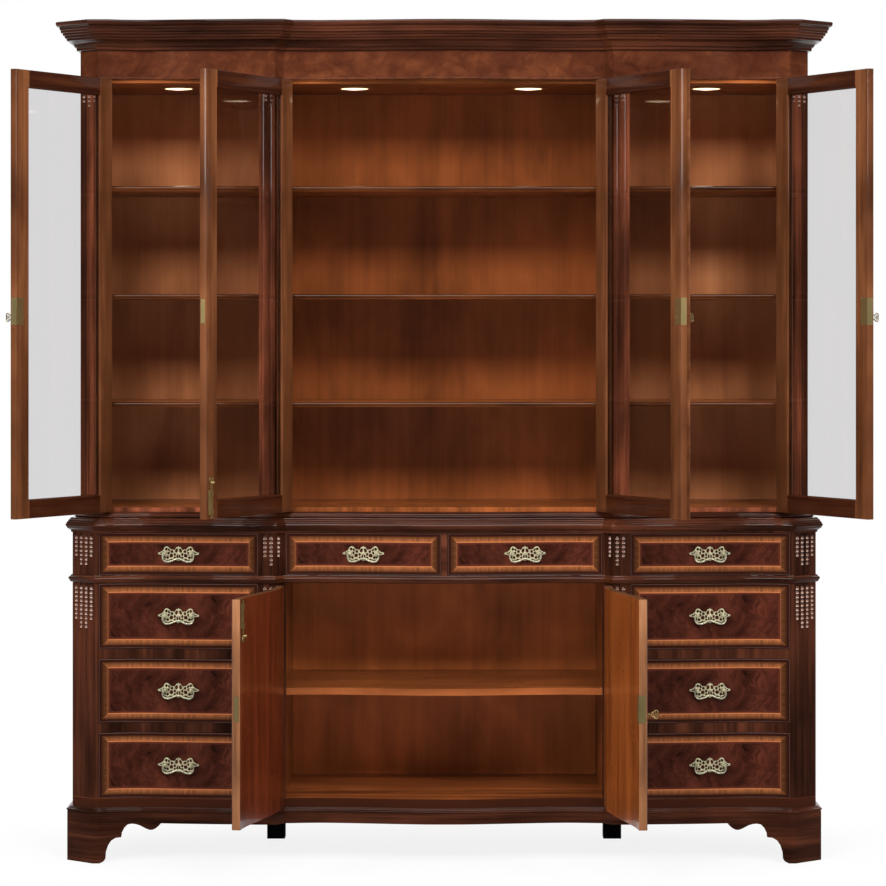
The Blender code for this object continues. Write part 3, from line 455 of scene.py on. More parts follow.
class Finish(Nodes):
    """A material being made: its nodes, and the shader that its colours feed."""

    def __init__(self, name, **constants):
        self.material = bpy.data.materials.new(name)
        self.material.use_nodes = True
        super().__init__(self.material.node_tree)
        self.shader = self.tree.nodes["Principled BSDF"]
        for socket, value in constants.items():
            self.shader.inputs[socket.replace("_", " ")].default_value = value

    def place(self):
        """Where a point is in the cabinet."""
        return self.node("TexCoord", output="Object")

    def own(self, layer="place"):
        """Where a point is on its piece, along and across it."""
        return self.node("UVMap", uv_map=layer)

    def noise(self, place, scale, detail=4.0, roughness=0.55, distortion=0.0, shift=(0, 0, 0)):
        """Noise with a density of its own in each direction, per metre."""
        spot = self.node("Mapping", {"Vector": place, "Scale": scale, "Location": shift})
        return self.node("TexNoise", {
            "Vector": spot, "Scale": 1.0, "Detail": detail, "Roughness": roughness,
            "Distortion": distortion,
        })

    def mix(self, factor, one, two):
        """The first colour where the factor is 0, and the second where it is 1."""
        one, two = (colour if isinstance(colour, Value) else (*colour, 1) for colour in (one, two))
        return self.node("Mix", {0: factor, 6: one, 7: two}, output=2, data_type="RGBA")

    def ramp(self, factor, *stops):
        return self.node("ValToRGB", {0: factor}, stops=stops)

    def wood(self, figure, tones):
        """A wood's dark, middle and light tones, laid along its figure."""
        return self.ramp(figure, *zip((0.12, 0.5, 0.92), tones))

    def set(self, **links):
        for socket, value in links.items():
            self.tree.links.new(value.socket, self.shader.inputs[socket.replace("_", " ")])
        return self

    def bump(self, height, strength, distance):
        bump = self.node("Bump", {"Height": height, "Strength": strength, "Distance": distance})
        return self.set(Normal=bump)

    def surface(self, shader):
        """Shows a shader in place of the plain one."""
        self.tree.links.new(shader.socket, self.tree.nodes["Material Output"].inputs["Surface"])
        return self


def wood_figure(finish, place, along, shift=(0.0, 0.0, 0.0), streak=1.0, mottle=1.0):
    """How light the wood is, from 0 to 1: streaks drawn out along one direction, finer pores in the
    same direction, and broad soft patches."""
    broad, fine, patches = (
        finish.noise(place, np.where(np.arange(3) == along, lengthwise, across), *settings, shift)
        for across, lengthwise, *settings in (
            (26, 1.1, 4, 0.6, 0.35), (190, 5.0, 3, 0.6, 0.0), (5.0, 2.6, 3, 0.5, 0.6),
        )
    )
    light = 0.5 + (broad - 0.5) * (1.5 * streak) + (fine - 0.5) * (0.55 * streak)
    return light + (patches - 0.5) * (1.3 * mottle), fine


def lacquered(name, roughness=0.3, coat=0.3):
    """A lacquered wood's finish, before its colour."""
    return Finish(
        name, Roughness=roughness, Coat_Weight=coat, Coat_Roughness=0.05, Specular_IOR_Level=0.1,
    )


def polished(name, *tones, along, own=False, roughness=0.3, coat=0.3, streak=1.0, mottle=1.0,
             shift=(0.0, 0.0, 0.0)):
    """Lacquered wood with its grain along one direction of the cabinet, or of the piece itself."""
    finish = lacquered(name, roughness, coat)
    place = finish.own() if own else finish.place()
    figure, fine = wood_figure(finish, place, along, shift, streak, mottle)
    wear = finish.noise(place, (9, 9, 9), 3)
    finish.set(Base_Color=finish.wood(figure, tones), Roughness=wear * 0.16 + (roughness - 0.08))
    return finish.bump(fine, 0.12, 0.0004)


def colour_property(name, description, default):
    return FloatVectorProperty(
        name=name, description=description, subtype="COLOR", size=3, default=default, min=0, max=1,
    )


def measure_property(name, description, default, unit="LENGTH"):
    return FloatProperty(name=name, description=description, default=default, unit=unit)


class CabinetColours(PropertyGroup):
    """Colours of the cabinet's woods and metals."""

    mahogany: colour_property("Mahogany", "Middle tone of the polished wood", (0.046, 0.0125, 0.0055))
    interior: colour_property("Inside", "Middle tone of the brown wood inside", (0.25, 0.069, 0.0185))
    banding: colour_property("Banding", "Light tone of the cross-banding", (0.25, 0.080, 0.027))
    field: colour_property("Fields", "Middle tone of the drawers' dark panels", (0.040, 0.0092, 0.0048))
    brass: colour_property("Brass", "Tone of the antique brass", (0.66, 0.60, 0.38))


class CabinetSizes(PropertyGroup):
    """Sizes of the small parts that are fitted to the frame."""

    cockbead: measure_property("Cockbead", "Width of the bead round a drawer front", 0.0034)
    margin: measure_property("Margin", "From a drawer's edge to its cross-banding", 0.0088)
    banding: measure_property("Banding", "Width of the cross-banding", 0.0175)
    husk_pitch: measure_property("Husk spacing", "Height of one carved husk in a column", 0.0124)
    wire: measure_property("Bail", "Radius of a drawer pull's bail", 0.0023)


class CabinetStudio(PropertyGroup):
    """The lamps, in watts, and the distance of the camera."""

    front_lamp: measure_property("Front lamp", "Power of each soft lamp in front", 185.0, "POWER")
    side_lamp: measure_property("Side lamps", "Power of each lamp beside the front", 190.0, "POWER")
    downlight: measure_property("Downlights", "Power of each light under the cornice", 1.6, "POWER")
    distance: measure_property("Camera distance", "From the camera to the front of the base", 9.17)


def scaled(colour, factor):
    return tuple(min(channel * factor, 1.0) for channel in colour)


def mahogany_tones(factor=1.0):
    """The dark, middle and light tones of the polished mahogany."""
    base = bpy.context.scene.cabinet_colours.mahogany
    return scaled(base, 0.28 * factor), scaled(base, factor), scaled(base, 2.4 * factor)


def interior_tones(factor=1.0):
    """The dark, middle and light tones of the brown wood inside."""
    base = bpy.context.scene.cabinet_colours.interior
    return scaled(base, 0.42 * factor), scaled(base, factor), scaled(base, 1.75 * factor)


def shared(name, make, *values, **settings):
    """A finish by its name, made the first time that it is asked for."""
    return bpy.data.materials.get(name) or make(name, *values, **settings).material


def mahogany_lengthwise():
    """Polished mahogany whose grain follows each moulding or board."""
    tones = mahogany_tones(0.8)
    return shared("polished_mahogany_lengthwise", polished, *tones, along=0, own=True, coat=0.8)


def drawer_wood(name):
    """Plain wood of the drawer boxes."""
    base = (0.33, 0.19, 0.09)
    return polished(name, scaled(base, 0.6), base, scaled(base, 1.3), along=0, own=True,
                    roughness=0.55, coat=0.0)


def flame(name, *tones, across):
    """Crotch mahogany, in its dark, middle and light tones."""
    finish = lacquered(name, 0.25, 0.35)
    figure = flame_figure(finish, finish.own(), across)
    return finish.set(Base_Color=finish.ramp(figure, *zip((0.2, 0.5, 0.85), tones)))


def flame_figure(finish, place, across=1.0):
    """Feathered flames: the place is bent by slow noise before the streaks are read from it."""
    bend = finish.noise(place, (5 * across, 9, 1), 3, 0.5)
    bent = finish.node("VectorMath", {0: place, 1: finish.node(
        "CombineXYZ", {0: (bend - 0.5) * 0.22, 1: (bend - 0.5) * 0.30, 2: 0.0}
    )}, operation="ADD")
    feathers = finish.noise(bent, (34 * across, 13, 1), 6, 0.74, 1.1)
    patches = finish.noise(place, (9 * across, 9, 1), 3, 0.55, 0.9)
    return feathers * 0.95 + patches * 0.75 - 0.35


def drawer_face(name):
    """The veneer of a drawer front: from its edge a dark bead with a painted highlight on its outer rim,
    ribbed satinwood cross-banding, a light string, and a dark field of crotch mahogany. The upright bands
    and strings are painted darker than the lying ones: painted shade."""
    colours = bpy.context.scene.cabinet_colours
    sizes = bpy.context.scene.cabinet_sizes
    finish = lacquered(name, 0.25, 0.35)
    near, far = finish.own(), finish.own("far")
    side = near.part(0).least(far.part(0))
    level = near.part(1).least(far.part(1))
    edge = side.least(level)
    lying = level < side
    along = near.part(0) * lying + near.part(1) * (1 - lying)
    ribs = finish.node("CombineXYZ", {0: along, 1: edge, 2: lying})
    rib = finish.noise(ribs, (130, 9, 4), 2, 0.5, 0.3)
    rib = (rib * 0.85 + finish.noise(ribs, (420, 22, 4), 2) * 0.3 - 0.1).step(0.2, 0.75)
    band = finish.mix(rib, scaled(colours.banding, 0.5), scaled(colours.banding, 1.15))
    # Painted shade: the upright bands are darker copies of the lying ones.
    upright = finish.mix(rib, scaled(colours.banding, 0.22), scaled(colours.banding, 0.40))
    band = finish.mix(lying, upright, band)
    figure = flame_figure(finish, near)
    field = finish.ramp(
        figure, (0.25, scaled(colours.field, 0.28)), (0.5, tuple(colours.field)),
        (0.8, scaled(colours.field, 2.6)),
    )
    start = sizes.margin
    end = start + sizes.banding
    band = finish.mix((edge - start).step(-0.004, 0.015), scaled(colours.banding, 0.13), band)
    # Painted shade: the upright strings are darker than the lying ones.
    string = finish.mix(lying, scaled(colours.banding, 0.62), scaled(colours.banding, 1.6))
    # Painted highlight along the cockbead's outer rim.
    painted_bead_highlight = (0.085, 0.042, 0.032)
    margin = finish.mix((edge - 0.0016).step(-0.0008, 0.0008), painted_bead_highlight, scaled(colours.field, 0.6))
    colour = finish.mix((edge - start).step(-0.0008, 0.0008), margin, band)
    colour = finish.mix((edge > end - 0.0024) * (edge < end), colour, string)
    field = finish.mix((edge - end).step(0.0, 0.009), scaled(colours.field, 2.0), field)
    return finish.set(Base_Color=finish.mix(edge > end, colour, field))


def cast_brass(name, factor=1.0, roughness=0.32, metallic=0.8):
    """Antique brass: worn bright in patches and brown in others."""
    base = tuple(bpy.context.scene.cabinet_colours.brass)
    finish = Finish(name, Metallic=metallic, Roughness=roughness)
    worn = finish.noise(finish.place(), (330, 330, 330), 4, 0.6)
    colour = finish.ramp(worn, (0.36, scaled(base, 0.6 * factor)), (0.6, scaled(base, 1.5 * factor)))
    finish.set(Base_Color=colour, Roughness=worn * 0.3 + (roughness - 0.12))
    return finish.bump(worn, 0.5, 0.0006)


def build_brass(shape, name, body, crease=40):
    """Builds a shape in antique brass."""
    return shape.build(name, body, "antique_brass", shared("antique_brass", cast_brass), crease=crease)


def clear_glass(name):
    """A pane: its own faint grey, with a reflection that grows towards grazing angles."""
    finish = Finish(name)
    seen_through = finish.node("BsdfTransparent", {"Color": (0.865, 0.86, 0.863, 1)})
    mirror = finish.node("BsdfGlossy", {"Color": (1, 1, 1, 1), "Roughness": 0.02})
    edge = finish.node("LayerWeight", {"Blend": 0.5}, output="Facing")
    factor = edge.power(5.0) * 0.96 + 0.04
    return finish.surface(finish.node("MixShader", {0: factor, 1: seen_through, 2: mirror}))


def lamp_glass(name):
    """The lit lens of a downlight, brightest in its middle."""
    finish = Finish(name, Roughness=0.4, Emission_Strength=2.2)
    outwards = finish.own().part(1) * 22
    glow = finish.ramp(outwards, (0.0, (1.0, 0.93, 0.78)), (1.0, (1.0, 0.74, 0.42)))
    return finish.set(Emission_Color=glow)


class CabinetOperator:
    """What the makers of pieces share: each is an operator that makes its pieces with make()."""

    bl_options = {"REGISTER", "UNDO"}

    def execute(self, context):
        self.make(context.scene.cabinet_sizes)
        return {"FINISHED"}


def case_wood(name, factor, inner_half, inner_front):
    """Polished mahogany outside and plain brown wood inside one case part, told apart by where a point lies:
    inside is behind the posts and between the side panels' inner faces. The posts are painted in the sides'
    tones times the factor: a painted highlight where the factor is above 1, and painted shade below it."""
    finish = lacquered(name)
    place = finish.place()
    figure, fine = wood_figure(finish, place, 2, streak=1.1)
    # Painted light: the posts' tones are the sides' tones times the factor.
    tones = (mahogany_tones(), mahogany_tones(factor), interior_tones(0.85))
    sides, posts, inside = (finish.wood(figure, each) for each in tones)
    inner_front += float(case_origin[1])
    outside = finish.mix(place.part(1) < inner_front, sides, posts)
    across = (place.part(0) - float(case_origin[0])).size()
    within = (across < inner_half) * (place.part(1) > inner_front)
    finish.set(Base_Color=finish.mix(within, outside, inside))
    return finish.bump(fine, 0.1, 0.0004)


class CABINET_OT_case(CabinetOperator, Operator):
    """Polishes the case: sides, posts, pilasters, floors, backs and shelves of the frame"""

    bl_idname = "cabinet.case"
    bl_label = "Case woods"

    def make(self, sizes):
        hutch_inner_half, hutch_inner_front = 1.0335, -0.474
        base_inner_half, base_inner_front = 1.0615, -0.448
        # Painted light: the hutch's posts and pilasters are 2.6 times as light as its sides, a painted
        # highlight; the base's posts are 0.72 times, painted shade.
        upright = shared("hutch_case_wood", case_wood, 2.6, hutch_inner_half, hutch_inner_front)
        base = shared("base_case_wood", case_wood, 0.72, base_inner_half, base_inner_front)
        back = shared("hutch_back_wood", back_wood, 1.0)
        # Painted light: the cupboard's back is 1.9 times as light as the hutch's.
        lower = shared("base_back_wood", back_wood, 1.9)
        flat = shared("inside_wood_flat", polished, *interior_tones(0.95), along=0, streak=0.5, mottle=0.8)
        floor = shared("bottom_board_wood", bottom_wood)
        level = shared("polished_mahogany_x", polished, *mahogany_tones(), along=0)
        glass = shared("pane_glass", clear_glass)
        materials = {
            "hutch_case": upright, "base_side": base, "base_partition": base, "hutch_back": back,
            "hutch_partition": upright, "base_back": lower, "middle_rail": level,
            "base_top_with_waist_moulding": level, "bottom_board": floor, "cupboard_shelf": flat,
            "plinth_with_bracket_feet": level, "hutch_shelf": flat,
        }
        for name, node in frame["nodes"].items():
            for start, material in materials.items():
                if name.startswith(start):
                    dress(node, material)
            if name.endswith("_glass"):
                dress(node, glass)


def back_wood(name, factor):
    """Brown veneer of a back panel, upright in its grain and paler in the two side bays: painted light,
    standing in for the brighter light there.
    """
    finish = Finish(name, Roughness=0.45, Coat_Weight=0.1, Specular_IOR_Level=0.1)
    place = finish.place()
    figure, fine = wood_figure(finish, place, 2, streak=0.3, mottle=0.8)
    middle = finish.wood(figure, interior_tones(factor))
    # Painted light: paler tones for the side bays than for the middle bay.
    side = finish.wood(figure, ((0.27, 0.092, 0.034), (0.50, 0.185, 0.072), (0.70, 0.29, 0.12)))
    across = (place.part(0) - float(case_origin[0])).size()
    finish.set(Base_Color=finish.mix(across.step(0.46, 0.54), middle, side))
    return finish.bump(fine, 0.1, 0.0004)


def bottom_wood(name):
    """The bottom board: brown on top, dark at its front edge, and painted near black on the blocks under it,
    as painted shade.
    """
    finish = polished(name, *interior_tones(0.9), along=0)
    wood = Value(finish, finish.shader.inputs["Base Color"].links[0].from_socket)
    level = finish.place().part(2)
    wood = finish.mix(level > bottom_rail_top - 0.0004, (0.036, 0.0085, 0.0032), wood)
    # Painted shade: the blocks under the board are painted near black.
    painted_shade_blocks = level < plinth_top - 0.001
    finish.set(Base_Color=finish.mix(painted_shade_blocks, wood, (0.002, 0.002, 0.002)), Coat_Weight=(1 - painted_shade_blocks) * 0.3)
    return finish.set(Roughness=painted_shade_blocks * 0.6 + 0.3)


def dress(node, material):
    """Gives every face of a node of the frame one material."""
    for slot in node.material_slots:
        slot.material = material


def mould(name, path, profile, wood):
    """A moulding that runs round the case from back to back."""
    shape = Shape()
    shape.moulding(path, profile)
    return shape.build(name, "cabinet", "mahogany", wood)


class CABINET_OT_cornice(CabinetOperator, Operator):
    """Makes the cornice with its beads and cove, the frieze of flame mahogany and the ceiling"""

    bl_idname = "cabinet.cornice"
    bl_label = "Cornice and frieze"

    def make(self, sizes):
        path = hutch_plan.path()
        projection, rise = 0.068, cabinet_top - frieze_top
        profile = curved([
            (-0.018, 0.0, 0), (0.0, 0.0, 0), (0.10, 0.005, 0), (0.16, 0.055, 0.3), (0.16, 0.10, 0),
            (0.23, 0.13, 0.0), (0.47, 0.33, -0.16), (0.50, 0.335, 0), (0.555, 0.415, 0.35),
            (0.575, 0.42, 0), (0.635, 0.505, 0.35), (0.655, 0.51, 0), (0.715, 0.595, 0.35),
            (0.735, 0.60, 0), (0.80, 0.69, 0.35), (0.82, 0.70, 0), (0.85, 0.79, 0.2),
            (0.955, 0.83, -0.1), (0.97, 0.85, 0), (1.0, 0.90, 0.3), (0.985, 0.985, 0.25), (0.95, 1.0, 0),
            (-0.018, 1.0, 0),
        ])
        profile = profile * (projection, rise) + (0, frieze_top)
        profile[[0, -1], 0] = -0.021
        dark = shared("cornice_mahogany", polished, *mahogany_tones(0.72), along=0, own=True, coat=0.8)
        mould("cornice_moulding", path, profile, dark)
        foot = door_head + 0.0002
        profile = curved([
            (-0.0205, foot, 0), (0.0005, foot, 0), (0.0030, foot + 0.0025, 0.35),
            (0.0030, foot + 0.0035, 0), (0.0005, foot + 0.0062, 0.35), (0.0005, foot + 0.0085, 0),
            (0.0, foot + 0.0088, 0), (0.0, frieze_top - 0.0002, 0), (-0.0205, frieze_top - 0.0002, 0),
        ])
        tones = (0.026, 0.0060, 0.0028), (0.060, 0.0155, 0.0065), (0.125, 0.036, 0.013)
        frieze = mould("frieze", path, profile, shared("flame_frieze", flame, *tones, across=0.5))
        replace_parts(frieze, "cornice_with_frieze")
        self.ceiling()
        shape = Shape()
        shape.board((-1.04, -0.0208, door_head + 0.0005), (1.04, 0.0, cabinet_top))
        shape.build("cornice_back_board", "cabinet", "mahogany", mahogany_lengthwise())

    def ceiling(self):
        """The board over the doors. Its front follows the case, and stays behind the closed doors."""
        thickness = 0.021
        edges = np.array((middle_opening_x, pilaster_outer_x, hutch_plan.opening_x))
        edges = np.concatenate([-edges, edges])
        x = np.unique(np.concatenate([np.linspace(-1.04, 1.04, 161), edges - 0.0001, edges + 0.0001]))
        front = hutch_plan.front(x) + 0.0212
        across = np.abs(x)
        ends = (return_inner_x, hutch_plan.corner_x)
        middle, side = (float(hutch_plan.front(end)) + hutch_door_thickness + joint_gap for end in ends)
        front = np.where(across < middle_opening_x, middle, front)
        front = np.where((across > pilaster_outer_x) & (across < hutch_plan.opening_x), side, front)
        shoulder_y = hutch_plan.corner()[1, 1]
        front = np.where(across > hutch_plan.corner_x - 0.02, shoulder_y + 0.022, front)
        depth = np.linspace(0, 1, 5)[None, :]
        y = front[:, None] * (1 - depth) - 0.0005 * depth
        flat = np.broadcast_to(x[:, None], y.shape)
        levels = (hutch_ceiling, hutch_ceiling + thickness)
        under, over = (np.stack([flat, y, np.full_like(y, z)], -1) for z in levels)
        shape = Shape()
        shape.between(under, over, np.stack([flat, y], -1))
        wood = shared("ceiling_wood", polished, *interior_tones(0.8), along=0, own=True)
        shape.build("hutch_ceiling_board", "cabinet", "mahogany", wood)


class CABINET_OT_mouldings(CabinetOperator, Operator):
    """Makes the mouldings that run round the case: waist, sill and middle"""

    bl_idname = "cabinet.mouldings"
    bl_label = "Mouldings"

    def make(self, sizes):
        wood = mahogany_lengthwise()
        path = base_plan.path()
        projection, low, rise = 0.0182, waist_bottom, waist_top - waist_bottom
        profile = curved([
            (-1.6, -0.004, 0), (0.23, -0.004, 0), (0.27, 0.14, 0), (0.32, 0.15, 0), (0.55, 0.22, 0.1),
            (0.95, 0.40, 0.12), (1.03, 0.42, 0), (1.03, 0.57, 0.35), (0.90, 0.60, 0), (0.82, 0.72, 0.3),
            (0.64, 0.74, 0), (0.60, 0.86, 0.35), (0.34, 0.90, 0), (0.24, 1.005, 0.15), (-1.6, 1.005, 0),
        ])
        mould("waist_moulding", path, profile * (projection, rise) + (0, low), wood)
        low, rise = hutch_base, sill_height
        profile = curved([
            (-0.004, low + 0.0003, 0), (0.0126, low + 0.0003, 0), (0.0126, low + rise * 0.45, 0.42),
            (0.0105, low + rise * 0.50, 0), (0.0072, low + rise * 0.78, 0.15),
            (0.0030, low + rise * 0.90, 0.1), (0.0004, low + rise * 1.02, 0.1),
            (-0.004, low + rise * 1.02, 0),
        ])
        mould("hutch_sill_moulding", hutch_plan.path(), profile, wood)
        low, rise = middle_rail_bottom, middle_rail_height
        profile = curved([
            (-0.0012, low + 0.0004, 0), (0.0042, low + rise * 0.06, 0), (0.0088, low + rise * 0.36, 0.1),
            (0.0088, low + rise * 0.78, 0.3), (0.0045, low + rise * 0.86, 0),
            (0.0036, low + rise * 1.01, 0.1), (-0.0012, low + rise * 1.01, 0),
        ])
        mould("middle_moulding", path, profile, wood)


# The lower edge of a bracket foot: shares of its width from the corner, and of the apron's height.
bracket_shares = np.array((
    (0.0, 0.0), (0.088, 0.0), (0.0905, 0.01), (0.13, 0.04), (0.155, 0.09), (0.165, 0.14),
    (0.17, 0.28), (0.2, 0.44), (0.25, 0.56), (0.32, 0.63), (0.405, 0.645), (0.412, 0.70), (0.415, 0.76),
    (0.45, 0.88), (0.50, 0.965), (0.56, 0.985), (0.62, 0.975), (0.69, 0.94), (0.77, 0.87),
    (0.83, 0.83), (0.88, 0.83), (0.93, 0.87), (0.97, 0.93), (1.0, 1.0),
))


def bracket_height(away, width):
    """The lower edge of the plinth near a foot, from the distance to the corner: it stands on the
    floor, rises in an ogee, steps out, and meets the apron after a hanging drop."""
    return np.interp(away / width, *bracket_shares.T) * apron_height


class CABINET_OT_plinth(CabinetOperator, Operator):
    """Makes the plinth: a moulded band that follows the case and is cut away between its feet"""

    bl_idname = "cabinet.plinth"
    bl_label = "Plinth"

    def make(self, sizes):
        case = base_plan.path(0.012)
        foot = (case + plan_normals(case) * plinth_projection)[-3:-1]
        shares = bracket_shares[1:, 0]
        near_x = foot[0, 0] - front_bracket_width * shares
        x = np.unique(np.concatenate([-near_x, near_x, case[2:-2, 0]]))
        front = np.stack([x, base_plan.front(x)], 1)
        front = front[np.abs(x) < base_plan.corner_x - 0.0001]
        near_y = np.sort(np.concatenate([
            foot[1, 1] + side_bracket_width * shares, -side_bracket_width * shares[shares > 0.1], [-0.0001],
        ]))
        shoulder_y = base_plan.corner()[1, 1]
        side = np.stack([np.full(len(near_y), base_plan.half_width), near_y], 1)
        side = side[near_y > shoulder_y + 0.0001]
        right = np.concatenate([base_plan.corner(), side])
        path = np.concatenate([right[::-1] * (-1, 1), front, right])
        normals = plan_normals(path)
        across = np.abs(path[:, 0])
        low_front = bracket_height(foot[0, 0] - across, front_bracket_width)
        away = np.minimum(path[:, 1] - foot[1, 1], -path[:, 1])
        low_side = bracket_height(away, side_bracket_width)
        low_side = np.where(path[:, 1] > shoulder_y + 0.00005, low_side, 0.0)
        low = np.where(across < base_plan.corner_x - 0.00005, low_front, low_side)
        board = plinth_board_height
        profile = curved([
            (0.015, 0.0, 0), (0.015, board - 0.0022, 0), (0.0140, board - 0.0016, 0), (0.0140, board, 0),
            (0.0153, board + 0.0010, 0), (0.0148, board + 0.0072, 0.38), (0.0105, board + 0.0085, 0),
            (0.0062, board + 0.0112, 0.2), (0.0030, plinth_top - 0.0002, 0.2),
            (-0.007, plinth_top - 0.0002, 0), (-0.007, 0.0, 0), (0.015, 0.0, 0),
        ])
        plan = path[:, None] + normals[:, None] * profile[None, :, :1]
        heights = np.where(profile[None, :, 1] < 0.001, low[:, None], profile[None, :, 1])
        points = np.concatenate([plan, heights[..., None]], -1)
        up = heights + profile[None, :, 0] * 2
        places = np.stack(np.broadcast_arrays(travelled(path)[:, None], up), -1)
        shape = Shape()
        shape.capped(points, places)
        wood = shared("plinth_wood", polished, *mahogany_tones(0.7), along=0, own=True, streak=1.2)
        plinth = shape.build("bracket_plinth", "cabinet", "mahogany", wood)
        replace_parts(plinth, "plinth_with_bracket_feet")


def husk(shape, foot, across, outwards, width, height, relief):
    """One bellflower, from its bud down to three petals. Across it, the front is an ellipse with two
    furrows; down it, the width and the rise grow as a sine; the lower edge waves with the petals."""
    u = np.linspace(-1, 1, 13)[:, None]
    v = np.linspace(0, 1, 6)[None, :]
    petals = 0.5 + 0.5 * np.cos(3 * math.pi * u)
    spread = width / 2 * (0.18 + 0.82 * np.sin(math.pi * 0.62 * v))
    down = height * v * (0.72 + 0.24 * petals)
    dome = np.sqrt(np.clip(1 - u * u, 0, 1))
    rise = relief * dome * (0.30 + 0.70 * np.sin(math.pi * 0.75 * v)) * (0.72 + 0.28 * petals)
    flat = foot + (u * spread)[..., None] * across - down[..., None] * np.array((0, 0, 1.0))
    # Places that carry the painted light: dark at the bud and in the furrows, pale at the petals' tips.
    bright = np.stack([v * (0.35 + 0.65 * petals), u + 0 * v], -1)
    shape.between(flat + rise[..., None] * outwards, flat - outwards * 0.001, bright)


def carved_wood(name):
    """Carved mahogany with painted light: brown in its hollows as painted shade, and pale on its petals as a
    painted highlight.
    """
    finish = Finish(name, Roughness=0.24, Coat_Weight=0.5, Coat_Roughness=0.1)
    wear = finish.noise(finish.place(), (300, 300, 300), 3)
    # Painted light: from painted shade in the hollows to a painted highlight on the petals, broken up by
    # noise.
    pale = finish.own().part(0) + (wear - 0.5) * 0.5
    colour = finish.ramp(
        pale, (0.15, (0.03, 0.010, 0.006)), (0.5, (0.14, 0.055, 0.034)), (0.85, (0.85, 0.60, 0.48)),
    )
    return finish.set(Base_Color=colour, Roughness=wear * 0.2 + 0.18)


class CABINET_OT_husks(CabinetOperator, Operator):
    """Carves the columns of husks in the flutes of the posts and pilasters"""

    bl_idname = "cabinet.husks"
    bl_label = "Husk carving"

    def make(self, sizes):
        pitch = sizes.husk_pitch
        proud, shallow = (0.0050, 0.0018), (0.0020, 0.0012)
        base_tops = (waist_bottom - 0.0075, middle_rail_bottom - 0.007)
        columns = []
        for plan, tops, counts, faces in (
            (base_plan, base_tops, ((5, 7, 7, 5), (8, 10, 10, 8)), (7, 5)),
            (hutch_plan, (hutch_ceiling - 0.006,), ((4, 5, 4),), (5, 4)),
        ):
            corner, shoulder = plan.corner()
            returns = np.array([(x, float(plan.front(x))) for x in (return_inner_x, return_outer_x)])
            face = np.array([returns[1], (pilaster_outer_x, returns[1, 1])])
            for top, count in zip(tops, counts):
                for i, number in enumerate(count):
                    share = 0.5 + (i + 0.5 - len(count) / 2) * 0.88 / len(count)
                    columns.append((corner, shoulder, share, top, number, proud))
                behind_door = top < middle_rail_bottom
                number, relief = (3, shallow) if behind_door else (faces[1], proud)
                columns.append((*returns, 0.50, top, number, relief))
                columns.append((*face, 0.19, top, faces[0], proud))
                columns.append((*face, 0.58, top, faces[1], proud))
        shape = Shape()
        for start, end, share, top, count, (relief, sunk) in columns:
            along = (end - start) / np.linalg.norm(end - start)
            spot = start + (end - start) * share
            for side in (1, -1):
                across = np.array([along[0] * side, along[1], 0])
                outwards = np.array([along[1] * side, -along[0], 0])
                for i in range(count):
                    foot = np.array([spot[0] * side, spot[1], top - i * pitch]) - outwards * sunk
                    width = 0.0112 * (1 - 0.25 * (i / count) ** 2)
                    husk(shape, foot, across, outwards, width, pitch * 0.98, relief)
        wood = shared("carved_mahogany", carved_wood)
        shape.build("husk_carving", "cabinet", "mahogany", wood, crease=60)


class CABINET_OT_shelf_edges(CabinetOperator, Operator):
    """Rounds the front edge of each hutch shelf"""

    bl_idname = "cabinet.shelf_edges"
    bl_label = "Shelf edges"

    def make(self, sizes):
        shape = Shape(origin=(0, 0, 0))
        middle = float(case_origin[0])
        for name in frame["nodes"]:
            if not name.startswith("hutch_shelf"):
                continue
            low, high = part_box(name)
            profile = curved([
                (low.y + 0.003, low.z + 0.0006, 0), (low.y - 0.0002, low.z + 0.0006, 0),
                (low.y - 0.0002, high.z + 0.0004, -0.28), (low.y + 0.003, high.z + 0.0004, 0),
            ], 10)
            ring = np.concatenate([profile, profile[:1]])
            side, reach = 1 if low.x > middle else -1, (pilaster_outer_x, hutch_plan.opening_x)
            if "middle" in name:
                side, reach = 1, (-middle_opening_x, middle_opening_x)
            ends = sorted((middle + side * (reach[0] + 0.001), middle + side * (reach[1] - 0.001)))
            shape.capped(np.stack([np.insert(ring, 0, x, axis=1) for x in ends]))
        tones = interior_tones(0.22)
        wood = shared("shelf_edge_wood", polished, *tones, along=0, roughness=0.2, coat=0.45)
        shape.build("shelf_nosings", "cabinet", "mahogany", wood, crease=50)


class CABINET_OT_downlights(CabinetOperator, Operator):
    """Fits a brass rim and a lit lens to each of the four lights in the hutch's ceiling"""

    bl_idname = "cabinet.downlights"
    bl_label = "Downlights"

    def make(self, sizes):
        rims, lenses = Shape(), Shape()
        rim = [
            (0, 0.049), (-0.0025, 0.0488), (-0.0040, 0.0465), (-0.0040, 0.0435), (-0.0022, 0.0417),
            (0, 0.0415), (0, 0.049),
        ]
        lens = [(0, 0.0), (0, 0.0413), (-0.0036, 0.0400), (-0.0058, 0.020), (-0.0062, 0.0)]
        for x, y in downlight_places:
            centre = (x, y, hutch_ceiling + 0.0005)
            rims.turned(rim, centre, (0, 0, 1), 48)
            lenses.turned(lens, centre, (0, 0, 1), 40)
        build_brass(rims, "downlight_rims", "cabinet", 50)
        lenses.build("downlight_lenses", "cabinet", "clear_glass", shared("lit_lens", lamp_glass))


